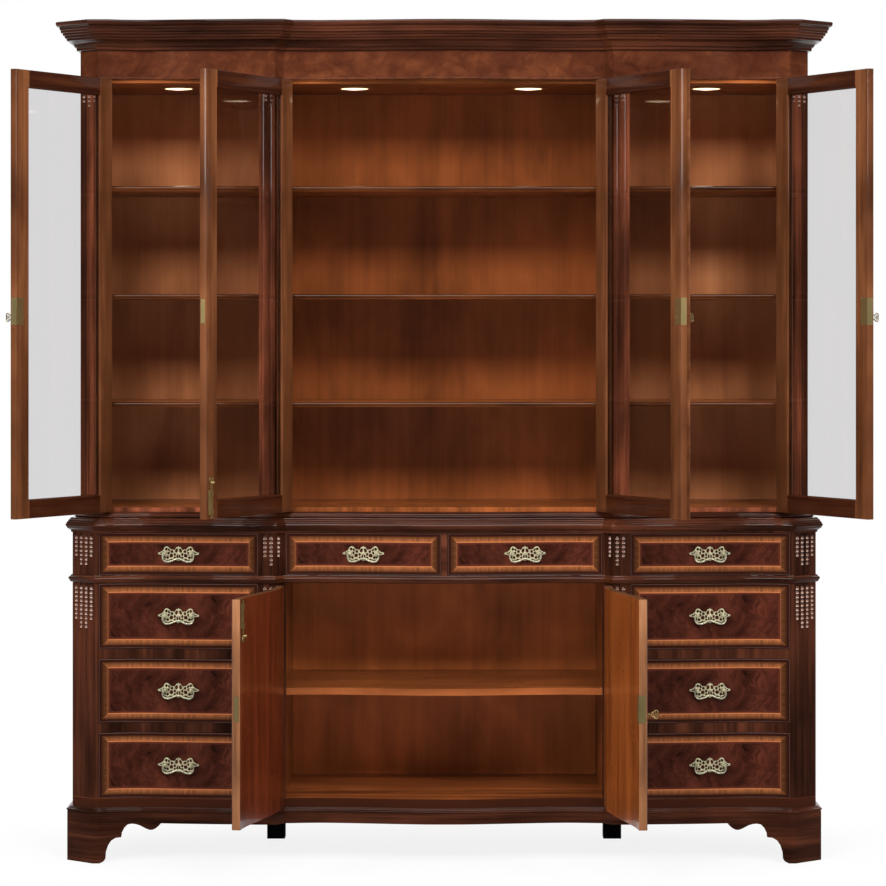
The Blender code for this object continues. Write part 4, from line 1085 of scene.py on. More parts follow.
def drawer_table():
    """Each drawer's name with the X and Z of its opening, from the middle of the cabinet."""
    bottom, rail, middle, half_divider = 0.191, 0.028, 0.186, 0.009
    lower = bottom_rail_top + bottom
    higher = lower + rail + middle
    levels = {
        "bottom": (bottom_rail_top, lower), "middle": (lower + rail, higher),
        "upper": (higher + rail, middle_rail_bottom),
    }
    table = []
    for side, word in ((-1, "left"), (1, "right")):
        column = sorted((side * pilaster_outer_x, side * base_plan.opening_x))
        middle = sorted((side * half_divider, side * middle_opening_x))
        table.append((f"top_drawer_{word}", *column, middle_rail_top, waist_bottom))
        table.append((f"top_drawer_middle_{word}", *middle, middle_rail_top, waist_bottom))
        for level, (low, high) in levels.items():
            table.append((f"{level}_drawer_{word}", *column, low, high))
    return table


def framed_front(x_ends, z_ends, rows, bead):
    """A front whose lines lie close together across the bead round its edge: its X and Z, its
    distances from all four edges, and the half-round rise of its bead."""
    rim = np.array((0.0, 0.06, 0.2, 0.4, 0.6, 0.8, 0.94, 1.0, 1.25)) * bead
    x, z = np.meshgrid(*(
        np.concatenate([low + rim, np.linspace(low + 0.008, high - 0.008, count), high - rim[::-1]])
        for (low, high), count in ((x_ends, 44), (z_ends, rows))
    ), indexing="ij")
    places = np.stack([x - x_ends[0], z - z_ends[0], x_ends[1] - x, z_ends[1] - z], -1)
    from_middle = places.min(axis=-1) / (bead / 2) - 1
    return x, z, places, 0.0019 * np.sqrt(np.clip(1 - from_middle ** 2, 0, 1))


class CABINET_OT_drawers(CabinetOperator, Operator):
    """Makes the ten drawers: serpentine fronts with cockbead and banding, and their boxes"""

    bl_idname = "cabinet.drawers"
    bl_label = "Drawers"

    def make(self, sizes):
        plane = return_depth + side_hollow / 2 - base_plan.depth + drawer_front_thickness
        face = shared("drawer_veneer", drawer_face)
        plain = shared("drawer_box_wood", drawer_wood)
        inset, wall, gap = 0.003, 0.011, 0.0002
        back = -0.032
        start, end = plane + gap, back - wall - gap
        for name, x_low, x_high, z_low, z_high in drawer_table():
            left, right = x_low + joint_gap, x_high - joint_gap
            ends = (z_low + joint_gap, z_high - joint_gap)
            x, z, places, rise = framed_front((left, right), ends, 6, sizes.cockbead)
            shape = Shape()
            front = np.stack([x, base_plan.front(x) - rise, z], -1)
            shape.between(front, np.stack([x, np.full_like(x, plane), z], -1), places, 1)
            piece = shape.build(f"{name}_front", name, "dark_mahogany", face, plain, crease=50)
            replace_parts(piece, name)
            box = Shape()
            left, right, floor, top = left + inset, right - inset, z_low + seat, z_high - 0.010
            inner_left, inner_right = left + wall + gap, right - wall - gap
            for low, high in (
                ((left, start, floor), (left + wall, end, top)),
                ((right - wall, start, floor), (right, end, top)),
                ((left, back - wall, floor), (right, back, top)),
                ((inner_left, start, floor + 0.008), (inner_right, end, floor + 0.014)),
                ((inner_left, plane + 0.0003, floor), (inner_right, plane + 0.014, floor + 0.0078)),
            ):
                box.board(low, high)
            box.build(f"{name}_box", name, "dark_mahogany", plain)


def pull_plate():
    """The pierced plate of a pull, in millimetres on its right half, as a flat curve with holes that
    is made a mesh: a crown and two scrolls above, pointed ends, and a scalloped foot."""
    outline = [
        (0.0, 21.6), (2.6, 18.6), (6.0, 19.2), (8.0, 14.6), (12.0, 11.0), (17.0, 12.2), (22.0, 12.4),
        (27.0, 17.0), (32.0, 20.6), (37.2, 20.8), (41.2, 17.4), (43.4, 12.0), (47.4, 8.4), (51.5, 5.4),
        (60.5, 0.6), (52.0, -2.4), (47.0, -4.0), (45.0, -9.4), (41.0, -15.0), (34.0, -18.2),
        (27.0, -17.2), (21.5, -14.2), (15.5, -16.8), (9.5, -15.4), (5.0, -18.2), (0.0, -20.4),
    ]
    holes = [
        [(34.0, 17.6), (39.6, 15.6), (38.0, 9.6), (32.6, 10.4)],
        [(25.6, 13.0), (30.6, 15.8), (30.0, 8.6), (24.2, 8.0)],
        [(16.4, 10.0), (22.4, 9.8), (21.8, 2.8), (15.6, 3.4)],
        [(4.6, 16.2), (10.8, 9.6), (7.4, 2.8), (1.4, 9.2)],
        [(11.6, 3.0), (14.4, 0.0), (12.4, -6.4), (7.2, -2.8)],
        [(17.6, 0.0), (26.0, -2.0), (24.6, -10.4), (16.2, -8.2)],
        [(25.8, 4.8), (31.6, 5.4), (30.6, -2.4), (27.6, -1.8)],
        [(42.8, 7.6), (47.0, 5.4), (47.2, -1.0), (43.8, -1.8)],
        [(28.6, -8.0), (35.4, -8.0), (34.8, -14.6), (28.6, -13.6)],
        [(1.6, -1.6), (5.6, -5.2), (5.4, -13.0), (1.4, -11.6)],
        [(8.6, -8.0), (14.2, -9.2), (13.8, -13.6), (8.4, -13.0)],
        [(49.4, 3.4), (54.6, 1.6), (52.6, -0.8), (49.2, -1.2)],
        [(37.6, -8.0), (42.6, -5.4), (41.6, -11.6), (37.4, -13.6)],
    ]
    curve = bpy.data.curves.new("pull_plate", "CURVE")
    curve.dimensions = "2D"
    curve.fill_mode = "BOTH"
    curve.resolution_u = 3
    curve.extrude = 0.0004
    curve.bevel_depth = 0.0007
    curve.bevel_resolution = 1
    curve.offset = -0.0004
    rings = [outline + [(-x, y) for x, y in outline[-2:0:-1]]]
    for hole in holes:
        rings += [hole, [(-x, y) for x, y in hole]]
    for ring in rings:
        spline = curve.splines.new("BEZIER")
        spline.bezier_points.add(len(ring) - 1)
        for point, (x, y) in zip(spline.bezier_points, ring):
            point.co = (x / 1000, y / 1000, 0)
            point.handle_left_type = point.handle_right_type = "AUTO"
        spline.use_cyclic_u = True
    guide = bpy.data.objects.new("pull_plate", curve)
    bpy.context.scene.collection.objects.link(guide)
    evaluated = guide.evaluated_get(bpy.context.evaluated_depsgraph_get())
    mesh = bpy.data.meshes.new_from_object(evaluated)
    points = np.empty(len(mesh.vertices) * 3)
    mesh.vertices.foreach_get("co", points)
    faces = [list(face.vertices) for face in mesh.polygons]
    bpy.data.objects.remove(guide)
    points = points.reshape(-1, 3)
    return np.stack([points[:, 0], -0.0011 - points[:, 2], points[:, 1]], 1), faces


class CABINET_OT_pulls(CabinetOperator, Operator):
    """Makes the ten swan-neck pulls: a pierced plate, two posts with rosettes, and a hanging bail"""

    bl_idname = "cabinet.pulls"
    bl_label = "Pulls"

    def make(self, sizes):
        plate, faces = pull_plate()
        pale = shared("pull_plate_brass", cast_brass, 0.66, 0.38, 0.4)
        # The bail is brighter than the plate: rubbed by handling, and partly a painted highlight.
        bright = shared("rubbed_brass", cast_brass, 1.3, 0.26)
        standoff, rise, post = 0.0105, 0.00258, 0.038
        half, drop, wire = 0.046, 0.0245, sizes.wire
        rosette = [
            (0.0005, 0.0), (0.0005, 0.0066), (0.0028, 0.0060), (0.0036, 0.0052), (0.0055, 0.0046),
            (0.0150, 0.0046), (0.0156, 0.0042), (0.0160, 0.0),
        ]
        knots = np.array((
            (post + 0.0045 + seat, 0.0003), (half - 0.0008, -0.0012), (half - 0.0004, -drop * 0.32),
            (half - 0.0010, -drop * 0.66), (half * 0.86, -drop * 0.95), (half * 0.64, -drop * 1.02),
            (half * 0.38, -drop * 0.90), (half * 0.16, -drop * 0.72), (0.0, -drop * 0.66),
        ))
        knots = np.concatenate([knots[:-1] * (-1, 1), knots[::-1]])
        where = travelled(knots) / travelled(knots)[-1]
        x, z = (smooth_share(np.stack([where, ends], 1), np.linspace(0, 1, 49)) for ends in knots.T)
        swell = 0.40 * np.exp(-((np.abs(x) - half * 0.62) / 0.012) ** 2)
        thick = wire * (0.82 + swell + 0.25 * np.exp(-(x / 0.006) ** 2))
        collar = [(-0.0009, 0.0), (-0.0009, wire * 1.5), (0.0009, wire * 1.5), (0.0009, 0.0)]
        for name, *_ in drawer_table():
            joint = joints[f"{name}_bail"]
            turn = math.atan2(-joint["axis"][1], -joint["axis"][0])
            outwards = np.array([math.sin(turn), -math.cos(turn), 0])
            pivot = np.array(joint["pos_m"])
            shape = Shape(pivot - outwards * standoff - (0, 0, rise), turn)
            shape.keep(plate, plate[:, [0, 2]], faces, 0)
            for side in (-post, post):
                shape.turned(rosette, (side, 0, rise), (0, -1, 0), 20)
            shape.build(f"{name}_pull_plate", name, "antique_brass", pale, crease=50)
            shape = Shape(pivot, turn)
            shape.tube(np.stack([x, np.zeros_like(x), z], 1), thick, (0, 1.0, 0), 12)
            for ring in (-0.0042, 0.0042):
                shape.turned(collar, (ring, 0, -drop * 0.668), (1, 0, 0), 12)
            bail = shape.build(f"{name}_swan_neck", f"{name}_bail", "antique_brass", bright, crease=50)
            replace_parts(bail, f"{name}_bail")


class Leaf:
    """A door: its pin, how far it is turned as stored, and the side that it hangs on."""

    def __init__(self, name):
        joint = joints[name]
        self.name = name
        self.side = 1 if joint["axis"][2] > 0 else -1
        self.turn = -self.side * math.radians(joint["range_deg"][1])
        self.pin = np.array(joint["pos_m"])
        low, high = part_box(name)
        self.height = high.z - low.z

    def shape(self, origin=None):
        """A piece drawn on the closed door, with X from the pin to the free edge."""
        return Shape(self.pin if origin is None else origin, self.turn, self.side < 0)


def hutch_doors():
    """The leaf of each glazed door, and its width."""
    side = hutch_plan.opening_x - pilaster_outer_x - 2 * joint_gap
    middle = middle_opening_x - 1.5 * joint_gap
    widths = {"far_left": side, "middle_left": middle, "middle_right": middle, "far_right": side}
    return [(Leaf(f"hutch_door_{name}"), width) for name, width in widths.items()]


def screw(shape, spot, direction, radius):
    """A countersunk screw's head: a low dome with a rim."""
    shape.turned([
        (-0.0006, 0.0), (-0.0006, radius), (0.0001, radius), (0.0004, radius * 0.8), (0.00045, 0.0),
    ], spot, direction, 14)


def plate(shape, low, high, edge):
    """A thin plate with softened edges: between its corners, each face is drawn in by the edge."""
    low, high = np.array(low, float), np.array(high, float)
    thin = int(np.argmin(high - low))
    one, two = [axis for axis in (0, 1, 2) if axis != thin]
    levels = (low[thin], edge), (low[thin] + edge, 0), (high[thin] - edge, 0), (high[thin], edge)
    rings = np.empty((4, 5, 3))
    for ring, (level, inset) in zip(rings, levels):
        ring[:, thin] = level
        ring[:, one] = np.where([0, 1, 1, 0, 0], high[one] - inset, low[one] + inset)
        ring[:, two] = np.where([0, 0, 1, 1, 0], high[two] - inset, low[two] + inset)
    shape.capped(rings)


def barrel(shape, low, height, radius):
    """A butt hinge's barrel on the pin, with five knuckles and ball tips."""
    knuckle = height / 5
    profile = [(0, 0.0), (0.0004, radius * 0.7)]
    for i in range(5):
        start = knuckle * i
        end = start + knuckle
        profile += [(start + 0.0008, radius), (end - 0.0008, radius), (end - 0.0002, radius * 0.88)]
    profile += [(height - 0.0002, radius * 0.7), (height, 0.0)]
    shape.turned(profile, (0, 0, low), (0, 0, 1), 18)


def hinge_feet(height):
    """How high the three hinges of a glazed door start, near its ends and in its middle."""
    highest = height - joint_gap - hinge_height
    return [min(max(height * share - hinge_height / 2, joint_gap), highest) for share in (0.06, 0.5, 0.94)]


def door_wood(name):
    """Frame wood: upright grain in the stiles, which run the whole height, and level grain in the rails
    between them, which are painted darker as painted shade."""
    finish = lacquered(name)
    near = finish.own()
    side = near.part(0).least(finish.own("far").part(0))
    figure, _ = wood_figure(finish, near, 1, streak=0.7)
    tones = (0.042, 0.0125, 0.0045), (0.098, 0.032, 0.0115), (0.20, 0.072, 0.028)
    stile = finish.wood(figure, tones)
    figure, fine = wood_figure(finish, near, 0, (3.1, 0.7, 0.0), streak=0.8)
    # Painted shade: the rails' tones are about a third of the stiles'.
    tones = (0.018, 0.0042, 0.0018), (0.030, 0.0072, 0.0028), (0.072, 0.021, 0.0075)
    rail = finish.wood(figure, tones)
    finish.set(Base_Color=finish.mix(side < door_stile - 0.0002, rail, stile))
    return finish.bump(fine, 0.1, 0.0004)


class CABINET_OT_glazed_doors(CabinetOperator, Operator):
    """Makes the four door frames of the hutch: stiles and rails with a moulding and a glazing bead"""

    bl_idname = "cabinet.glazed_doors"
    bl_label = "Glazed doors"

    def make(self, sizes):
        thick, rounding = hutch_door_thickness, 0.0012
        away = np.array([(-1, -1), (1, -1), (1, 1), (-1, 1)])
        face = curved([
            (0.0, 0.0099, 0), (0.0, 0.0062, 0), (0.0026, 0.0034, -0.2), (0.0052, 0.0012, 0.35),
            (0.0078, 0.0010, 0), (0.0084, 0.0022, 0), (0.0094, 0.0022, 0), (0.0100, 0.0, 0),
            (0.0115, 0.0, 0),
        ])
        rim = [
            (rounding, 0.0), (0.0003, 0.0004), (0.0, rounding), (0.0, thick - rounding),
            (0.0003, thick - 0.0004), (rounding, thick),
        ]
        bead = curved([
            (0.0115, thick, 0), (0.0096, thick, 0), (0.0090, thick - 0.0010, 0),
            (0.0084, thick - 0.0004, 0), (0.0010, thick - 0.0044, 0.3), (0.0, thick - 0.0050, 0),
            (0.0, 0.0146, 0), (0.0093, 0.0146, 0), (0.0093, 0.0099, 0), (0.0, 0.0099, 0),
        ])
        for leaf, width in hutch_doors():
            left, right, height = joint_gap / 2, joint_gap / 2 + width, leaf.height
            outer = np.array([(left, 0), (right, 0), (right, height), (left, height)])
            inner = outer - away * (door_stile, door_bottom_rail)
            inner[2:, 1] = height - door_top_rail
            rings = [
                np.insert(frame_edge + away * (sign * d), 1, y, axis=1)
                for frame_edge, sign, profile in ((inner, 1, face), (outer, -1, rim), (inner, 1, bead))
                for d, y in profile
            ]
            rings = np.stack(rings)[:, [0, 1, 2, 3, 0]]
            shape = leaf.shape()
            for i in range(4):
                strip = rings[:, i:i + 2]
                x, z = strip[..., 0], strip[..., 2]
                shape.grid(strip, np.stack([x - left, z, right - x, height - z], -1))
            if leaf.name == "hutch_door_middle_right":
                astragal = np.array([
                    (-0.0110, 0.0005), (-0.0110, -0.0020), (-0.0096, -0.0034), (-0.0060, -0.0040),
                    (0.0050, -0.0040), (0.0082, -0.0032), (0.0090, -0.0020), (0.0090, -0.0006),
                    (-0.0003, -0.0006), (-0.0003, 0.0005),
                ])
                shape.prism(astragal + (right, 0), 0.0002, height - 0.0002)
            wood = shared("door_frame_wood", door_wood)
            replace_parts(shape.build(f"{leaf.name}_frame", leaf.name, "mahogany", wood), leaf.name)
            metal = leaf.shape()
            for low in hinge_feet(height):
                barrel(metal, low, hinge_height, 0.0042)
                plate(metal, (left - 0.00035, 0.0035, low + 0.002),
                      (left + 0.0004, thick - 0.003, low + hinge_height - 0.002), 0.0001)
            build_brass(metal, f"{leaf.name}_hinges", leaf.name)


def cupboard_face(x, forward):
    """The Y of the closed cupboard doors' surface, so far in front of their inner face."""
    return base_plan.front(np.minimum(np.abs(x), middle_opening_x)) - 0.0006 - forward


class CABINET_OT_cupboard_doors(CabinetOperator, Operator):
    """Makes the two serpentine doors of the cupboard, banded outside and plain inside"""

    bl_idname = "cabinet.cupboard_doors"
    bl_label = "Cupboard doors"

    def make(self, sizes):
        pin = np.array(joints["cupboard_door_left"]["pos_m"]) - case_origin
        free, slope = -joint_gap / 2, (return_outer_x - return_inner_x) / return_depth
        first_x = joint_gap * math.hypot(1, slope) - return_inner_x
        forwards = (cupboard_door_thickness, 0.0)
        starts = [first_x - (0.0006 + forward) * slope for forward in forwards]
        face = shared("drawer_veneer", drawer_face)
        edges = shared("cupboard_door_edge", polished, (0.10, 0.040, 0.017), (0.21, 0.087, 0.037),
                       (0.34, 0.155, 0.072), along=0, own=True)
        # One wood in two tones: the left door's inner face is painted darker, painted shade, and the right
        # door's paler, painted light.
        for word, shift, *tones in (
            ("left", 0.4, (0.048, 0.0080, 0.0026), (0.092, 0.0165, 0.0052), (0.15, 0.031, 0.010)),
            ("right", 1.7, (0.115, 0.026, 0.0052), (0.205, 0.050, 0.0100), (0.32, 0.088, 0.020)),
        ):
            name = f"cupboard_door_{word}"
            leaf = Leaf(name)
            sides = []
            for forward, start in zip(forwards, starts):
                x, z, places, rise = framed_front((start, free), (0.0, leaf.height), 8, sizes.cockbead)
                y = cupboard_face(x, max(forward, 0.0004)) - (rise if forward else 0.0)
                sides.append((np.stack([x - pin[0], y - pin[1], z], -1), places))
            (outer, places), (inner, inner_places) = sides
            shape = leaf.shape()
            shape.grid(outer, places, 0)
            shape.grid(inner, inner_places[..., [1, 0, 3, 2]], 1)
            for edge in (np.s_[0], np.s_[-1], np.s_[:, 0], np.s_[:, -1]):
                rim = np.stack([outer[edge], inner[edge]], 1)
                along = rim[:, :, 2] if edge in (0, -1) else rim[:, :, 0]
                across = np.broadcast_to(np.array([0.0, cupboard_door_thickness]), along.shape)
                shape.grid(rim, np.stack([along, across], -1), 2)
            inside = shared(f"cupboard_door_inside_{word}", polished, *tones, along=0, own=True,
                            shift=(shift, 0, 0), mottle=0.5)
            piece = shape.build(f"{name}_leaf", name, "mahogany", face, inside, edges, crease=40)
            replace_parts(piece, name)
            self.hinges(leaf, starts, forwards, pin)

    def hinges(self, leaf, starts, forwards, pin):
        """Two hinges, whose leaves lie on the slanted edge that fits the canted return."""
        ends = [(start, float(cupboard_face(start, forward))) for start, forward in zip(starts, forwards)]
        ends = np.array(ends) - pin[:2]
        back = (ends[1] - ends[0]) / np.linalg.norm(ends[1] - ends[0])
        across = np.array((-back[1], back[0]))
        first, last = ends[0] + back * 0.003, ends[1] - back * 0.004
        plan = [
            first - across * 0.0003, first + across * 0.0004, last + across * 0.0004, last - across * 0.0003,
        ]
        metal = leaf.shape()
        for share in (0.19, 0.84):
            low = leaf.height * share - 0.055
            barrel(metal, low, 0.110, 0.0035)
            metal.prism(plan, low + 0.002, low + 0.108)
        build_brass(metal, f"{leaf.name}_hinges", leaf.name)


def ornate_key(shape):
    """A key in its lock: a turned shank with collars and a pierced bow of three loops."""
    shape.turned([
        (-0.012, 0.0), (-0.012, 0.0021), (0.0072, 0.0021), (0.0080, 0.0036), (0.0096, 0.0042),
        (0.0112, 0.0036), (0.0118, 0.0024), (0.0150, 0.0024), (0.0156, 0.0034), (0.0168, 0.0034),
        (0.0176, 0.0022), (0.0180, 0.0),
    ], (0, 0, 0), (0, -1, 0), 14)
    angle = np.linspace(0, 2 * math.pi, 60, endpoint=False)
    reach = 0.0096 * (1 + 0.20 * np.cos(3 * angle + math.pi))
    centre = -0.018 - 0.0092
    loop = np.stack([np.zeros(60), centre - np.cos(angle) * reach, np.sin(angle) * reach * 1.08], 1)
    shape.tube(loop, 0.0016, (1.0, 0, 0), 8, closed=True)
    angle = np.linspace(0, 2 * math.pi, 28, endpoint=False)
    for y, z, size in ((0.001, 0.0038, 0.0034), (0.001, -0.0038, 0.0034), (-0.0056, 0.0, 0.0030)):
        ring = np.stack([np.zeros(28), centre + y + np.cos(angle) * size, z + np.sin(angle) * size], 1)
        shape.tube(ring, 0.0010, (1.0, 0, 0), 6, closed=True)


def escutcheon(shape, x, y, z):
    """A keyhole plate on an outer face: a shield with a scrolled edge, whose reach from the keyhole
    is a wave round the angle, and a raised rim round the hole."""
    angle = np.linspace(0, 2 * math.pi, 72)
    reach = 0.0125 * (1 + 0.14 * np.cos(4 * angle) + 0.08 * np.cos(8 * angle))
    across, up = np.cos(angle) * reach, np.sin(angle) * reach * 1.75
    shape.grid(np.stack([
        np.stack([x + across * share, np.full(72, y - out), z + up * share], 1) for share, out in (
            (0.30, 0.0004), (0.32, 0.0016), (0.44, 0.0016), (0.50, 0.0011), (0.86, 0.0011),
            (0.96, 0.0008), (1.0, 0.0), (0.30, 0.0),
        )
    ]))


class CABINET_OT_locks(CabinetOperator, Operator):
    """Fits lock plates, keys, escutcheons, strike plates and surface bolts"""

    bl_idname = "cabinet.locks"
    bl_label = "Locks and bolts"

    def make(self, sizes):
        for leaf, width in hutch_doors():
            edge, height, outer, inner = joint_gap / 2 + width, 0.563, 0.0, hutch_door_thickness
            metal = leaf.shape()
            if leaf.name == "hutch_door_middle_left":
                self.strike(metal, edge, outer, inner, height, 0.0035)
                self.bolt(leaf, metal, edge - 0.022, inner, 0.0, -1)
            else:
                self.lock(metal, edge, outer, inner, height)
                escutcheon(metal, edge - 0.026, outer, height)
                self.key(leaf)
            build_brass(metal, f"{leaf.name}_lock", leaf.name)
        pin = np.array(joints["cupboard_door_left"]["pos_m"]) - case_origin
        free, height = -joint_gap / 2, 0.315
        edge = free - pin[0]
        inner = float(cupboard_face(free - 0.012, 0.0)) - pin[1]
        outer = inner - cupboard_door_thickness
        for word in ("left", "right"):
            leaf = Leaf(f"cupboard_door_{word}")
            metal = leaf.shape()
            if word == "left":
                self.strike(metal, edge, outer, inner, height, 0.004)
                x = free - 0.022
                face = max(float(cupboard_face(x + side, 0)) for side in (-0.012, 0.012)) - pin[1]
                self.bolt(leaf, metal, x - pin[0], face, leaf.height, 1)
            else:
                self.lock(metal, edge, outer, inner, height)
                face = float(cupboard_face(free - 0.026, cupboard_door_thickness)) - pin[1]
                escutcheon(metal, edge - 0.026, face, height)
                self.key(leaf)
            build_brass(metal, f"{leaf.name}_lock", leaf.name)

    def strike(self, metal, edge, outer, inner, height, inset):
        """The plate that a lock's tongue goes into, on a door's edge between its two faces."""
        plate(metal, (edge - 0.0002, outer + inset, height - 0.017),
              (edge + 0.0005, inner - inset, height + 0.051), 0.0001)
        for z in (height - 0.010, height + 0.044):
            screw(metal, (edge + 0.0005, (outer + inner) / 2, z), (1, 0, 0), 0.0022)

    def lock(self, metal, edge, outer, inner, height):
        """A lock's plate: one leg on the door's edge, with the tongue's slot, and one on its inner
        face, held by screws, with a ring round the keyhole."""
        low, high = height - 0.021, height + 0.055
        plate(metal, (edge - 0.0003, outer + 0.003, low), (edge + 0.0005, inner + 0.0003, high), 0.0001)
        plate(metal, (edge - 0.030, inner - 0.0004, low), (edge - 0.0001, inner + 0.0008, high), 0.0002)
        plate(metal, (edge + 0.0004, outer + 0.0075, height + 0.004),
              (edge + 0.0007, inner - 0.0055, height + 0.030), 0.0001)
        for z in (low + 0.006, high - 0.006):
            for x in (edge - 0.0245, edge - 0.0065):
                screw(metal, (x, inner + 0.0008, z), (0, 1, 0), 0.0022)
            screw(metal, (edge + 0.0005, (outer + inner) / 2, z), (1, 0, 0), 0.0020)
        metal.turned([
            (-0.001, 0.0052), (0.0012, 0.0050), (0.0012, 0.0030), (-0.001, 0.0030), (-0.001, 0.0052),
        ], (edge - 0.026, inner + 0.0002, height), (0, 1, 0), 18)

    def key(self, leaf):
        name = f"{leaf.name}_key"
        shape = leaf.shape(joints[name]["pos_m"])
        ornate_key(shape)
        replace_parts(build_brass(shape, f"{leaf.name}_bow_key", name, 45), name)

    def bolt(self, leaf, metal, x, inner, end, way):
        """A surface bolt: its plate and case stay on the door, and its bar slides."""
        low, high = sorted((end - way * 0.0125, end - way * 0.0815))
        plate(metal, (x - 0.0105, inner - 0.0002, low), (x + 0.0105, inner + 0.0015, high), 0.0004)
        for start in (low, high - 0.017):
            for left, right, foot in (
                (-0.0060, -0.00425, 0.0010), (0.00425, 0.0060, 0.0010), (-0.0060, 0.0060, 0.0053),
            ):
                plate(metal, (x + left, inner + foot, start),
                      (x + right, inner + 0.0070, start + 0.017), 0.0003)
        for z in (low + 0.024, high - 0.024):
            for side in (-0.0078, 0.0078):
                screw(metal, (x + side, inner + 0.0015, z), (0, 1, 0), 0.0018)
        bar = leaf.shape()
        tip = end - way * 0.002
        y = inner + 0.0034
        outline = curved([
            (-0.00375, 0.0, 0), (-0.00375, 0.100, 0), (-0.0088, 0.1165, -0.25), (0.0088, 0.1165, 0.18),
            (0.00375, 0.100, -0.25), (0.00375, 0.0, 0), (-0.00375, 0.0, 0),
        ])
        outline = outline * (1, -way) + (x, tip)
        bar.capped(np.stack([np.insert(outline, 1, y + out, axis=1) for out in (-0.0015, 0.0015)]))
        bar.turned([
            (0.0, 0.0045), (0.004, 0.0034), (0.006, 0.0050), (0.0085, 0.0044), (0.0095, 0.0),
        ], (x, y + 0.0012, tip - way * 0.101), (0, 1, 0), 16)
        name = f"{leaf.name}_bolt"
        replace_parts(build_brass(bar, f"{name}_bar", name), name)


class CABINET_OT_jamb_leaves(CabinetOperator, Operator):
    """Fits the hinge leaves that stay on the posts and pilasters"""

    bl_idname = "cabinet.jamb_leaves"
    bl_label = "Jamb hinge leaves"

    def make(self, sizes):
        shape = Shape()
        height = door_head - sill_top - 2 * joint_gap
        for opening_x, face_x in (
            (hutch_plan.opening_x, hutch_plan.corner_x), (middle_opening_x, return_inner_x),
        ):
            face = float(hutch_plan.front(face_x))
            for foot in hinge_feet(height):
                low, high = (sill_top + joint_gap + foot + rise for rise in (0.002, hinge_height - 0.002))
                for side in (1, -1):
                    left, right = sorted((side * (opening_x - 0.00025), side * (opening_x + 0.0005)))
                    plate(shape, (left, face + 0.0050, low), (right, face + 0.019, high), 0.0001)
        build_brass(shape, "jamb_hinge_leaves", "cabinet")


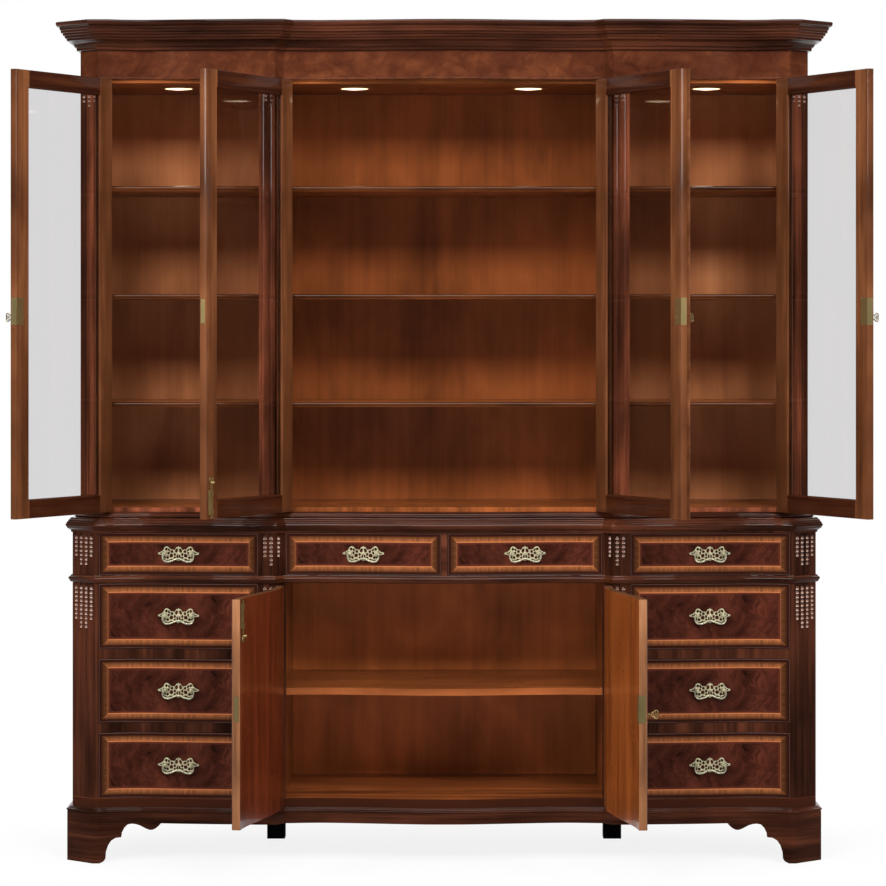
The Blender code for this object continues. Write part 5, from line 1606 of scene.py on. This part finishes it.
class CABINET_OT_stage(CabinetOperator, Operator):
    """Sets the floor, the world, the lamps and the camera"""

    bl_idname = "cabinet.stage"
    bl_label = "Studio"

    def make(self, sizes):
        studio = bpy.context.scene.cabinet_studio
        scene = bpy.context.scene
        scene.view_settings.view_transform = "Standard"
        world = bpy.data.worlds.new("studio")
        world.use_nodes = True
        scene.world = world
        nodes = Nodes(world.node_tree)
        seen, mirrored = nodes.rays()
        heading = nodes.node("TexCoord", output="Generated")
        behind = heading.part(1).step(0.2, 0.8)
        ambient = 0.22 + heading.part(2).step(-0.2, 0.9) * 0.30
        level = seen.most(mirrored * (0.03 + behind * 0.97))
        plain = (1 - seen.most(mirrored)) * ambient
        ground = world.node_tree.nodes["Background"]
        world.node_tree.links.new((level + plain).socket, ground.inputs["Strength"])
        ground.inputs["Color"].default_value = (1, 1, 1, 1)
        self.floor()
        side = studio.side_lamp
        for name, place, target, power, size in (
            ("soft_front_left", (-2.0, -6.4, 4.5), (0, 0, 1.3), studio.front_lamp, (1.6, 1.2)),
            ("soft_front_right", (2.0, -6.4, 4.5), (0, 0, 1.3), studio.front_lamp, (1.6, 1.2)),
            ("left_lamp", (-4.8, -5.4, 3.4), (0, 0, 1.2), side, (2.0, 2.4)),
            ("right_lamp", (4.8, -5.4, 3.4), (0, 0, 1.2), side * 0.85, (2.0, 2.4)),
            ("top_lamp", (0.0, -4.2, 5.4), (0, 0, 1.2), side * 0.7, (3.6, 1.2)),
        ):
            self.lamp(name, place, target, power, size)
        for x, y in downlight_places:
            share, angle = (1.5, 110) if abs(x) > pilaster_outer_x else (0.5, 80)
            data = bpy.data.lights.new("downlight", "SPOT")
            data.energy = studio.downlight * share
            data.color = (1.0, 0.88, 0.70)
            data.spot_size = math.radians(angle)
            data.spot_blend = 0.8
            data.shadow_soft_size = 0.03
            lamp = bpy.data.objects.new("downlight", data)
            lamp.location = case_origin + np.array((x, y, hutch_ceiling - 0.012))
            scene.collection.objects.link(lamp)
        camera = bpy.data.cameras.new("camera")
        camera.lens, camera.sensor_width, camera.shift_y = 128.8, 36, -0.1264
        view = bpy.data.objects.new("camera", camera)
        view.location = case_origin + np.array((-0.0035, -base_plan.depth - studio.distance, 1.54))
        view.rotation_euler = (math.radians(90), 0, 0)
        scene.collection.objects.link(view)
        scene.camera = view

    def lamp(self, name, place, target, power, size):
        """A rectangular lamp that is turned to a target. The soft ones don't show in the polish."""
        data = bpy.data.lights.new(name, "AREA")
        data.shape = "RECTANGLE"
        data.size, data.size_y = size
        data.energy = power
        lamp = bpy.data.objects.new(name, data)
        start = case_origin + np.array(place)
        lamp.location = start
        aim = case_origin + np.array(target) - start
        flat = math.hypot(aim[0], aim[1])
        lamp.rotation_euler = (math.atan2(flat, -aim[2]), 0, math.atan2(-aim[0], aim[1]))
        lamp.visible_glossy = not name.startswith("soft")
        bpy.context.scene.collection.objects.link(lamp)

    def floor(self):
        """A round floor: white for the camera, with the cabinet's soft shadow near it."""
        finish = Finish("white_floor", Roughness=0.9, Base_Color=(0.88, 0.88, 0.88, 1))
        seen, mirrored = finish.rays()
        place = finish.place()
        away = finish.node("VectorMath", {0: place, 1: (0.45, 0.9, 1.0)}, operation="MULTIPLY")
        away = finish.node("VectorMath", {0: away}, output="Value", operation="LENGTH")
        far = away.step(0.45, 0.95)
        behind = place.part(1).step(-0.2, 0.9) * 0.97 + 0.03
        glow = finish.node("Emission", {"Strength": seen.most(mirrored * behind)})
        share = (seen * (0.86 + far * 0.14)).most(mirrored)
        plain = Value(finish, finish.shader.outputs[0])
        finish.surface(finish.node("MixShader", {0: share, 1: plain, 2: glow}))
        angle = np.linspace(0, 2 * math.pi, 65)
        radius = np.array((0.0, 1.5, 4.0, 12.0, 40.0))
        across, forward = radius[:, None] * np.cos(angle), radius[:, None] * np.sin(angle)
        points = np.stack([across, forward, np.full_like(across, -0.0005)], -1)
        mesh = bpy.data.meshes.new("floor")
        index = np.arange(points.shape[0] * points.shape[1]).reshape(points.shape[:2])
        faces = np.stack([index[1:, :-1], index[1:, 1:], index[:-1, 1:], index[:-1, :-1]], -1)
        mesh.from_pydata(points.reshape(-1, 3).tolist(), [], faces.reshape(-1, 4).tolist())
        mesh.materials.append(finish.material)
        work = bmesh.new()
        work.from_mesh(mesh)
        bmesh.ops.remove_doubles(work, verts=work.verts, dist=0.00001)
        work.to_mesh(mesh)
        work.free()
        floor = bpy.data.objects.new("floor", mesh)
        bpy.context.scene.collection.objects.link(floor)


class CABINET_PT_panel(Panel):
    """Lists the makers of the cabinet's pieces"""

    bl_idname = "CABINET_PT_panel"
    bl_label = "China Cabinet"
    bl_space_type = "VIEW_3D"
    bl_region_type = "UI"
    bl_category = "China Cabinet"

    def draw(self, context):
        for group_name, group in groups.items():
            for name in group.__annotations__:
                self.layout.prop(getattr(context.scene, group_name), name)
        for maker in makers:
            self.layout.operator(maker.bl_idname)


makers = (
    CABINET_OT_stage, CABINET_OT_case, CABINET_OT_cornice, CABINET_OT_mouldings, CABINET_OT_plinth,
    CABINET_OT_husks, CABINET_OT_shelf_edges, CABINET_OT_downlights, CABINET_OT_drawers,
    CABINET_OT_pulls, CABINET_OT_glazed_doors, CABINET_OT_cupboard_doors, CABINET_OT_locks,
    CABINET_OT_jamb_leaves,
)
groups = {
    "cabinet_colours": CabinetColours, "cabinet_sizes": CabinetSizes, "cabinet_studio": CabinetStudio,
}


def register():
    for name, group in groups.items():
        bpy.utils.register_class(group)
        setattr(bpy.types.Scene, name, PointerProperty(type=group))
    for maker in makers:
        bpy.utils.register_class(maker)
    bpy.utils.register_class(CABINET_PT_panel)


def unregister():
    bpy.utils.unregister_class(CABINET_PT_panel)
    for maker in reversed(makers):
        bpy.utils.unregister_class(maker)
    for name, group in groups.items():
        delattr(bpy.types.Scene, name)
        bpy.utils.unregister_class(group)


def main():
    """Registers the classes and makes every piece."""
    register()
    for maker in makers:
        family, name = maker.bl_idname.split(".")
        getattr(getattr(bpy.ops, family), name)()


if __name__ == "__main__":
    main()
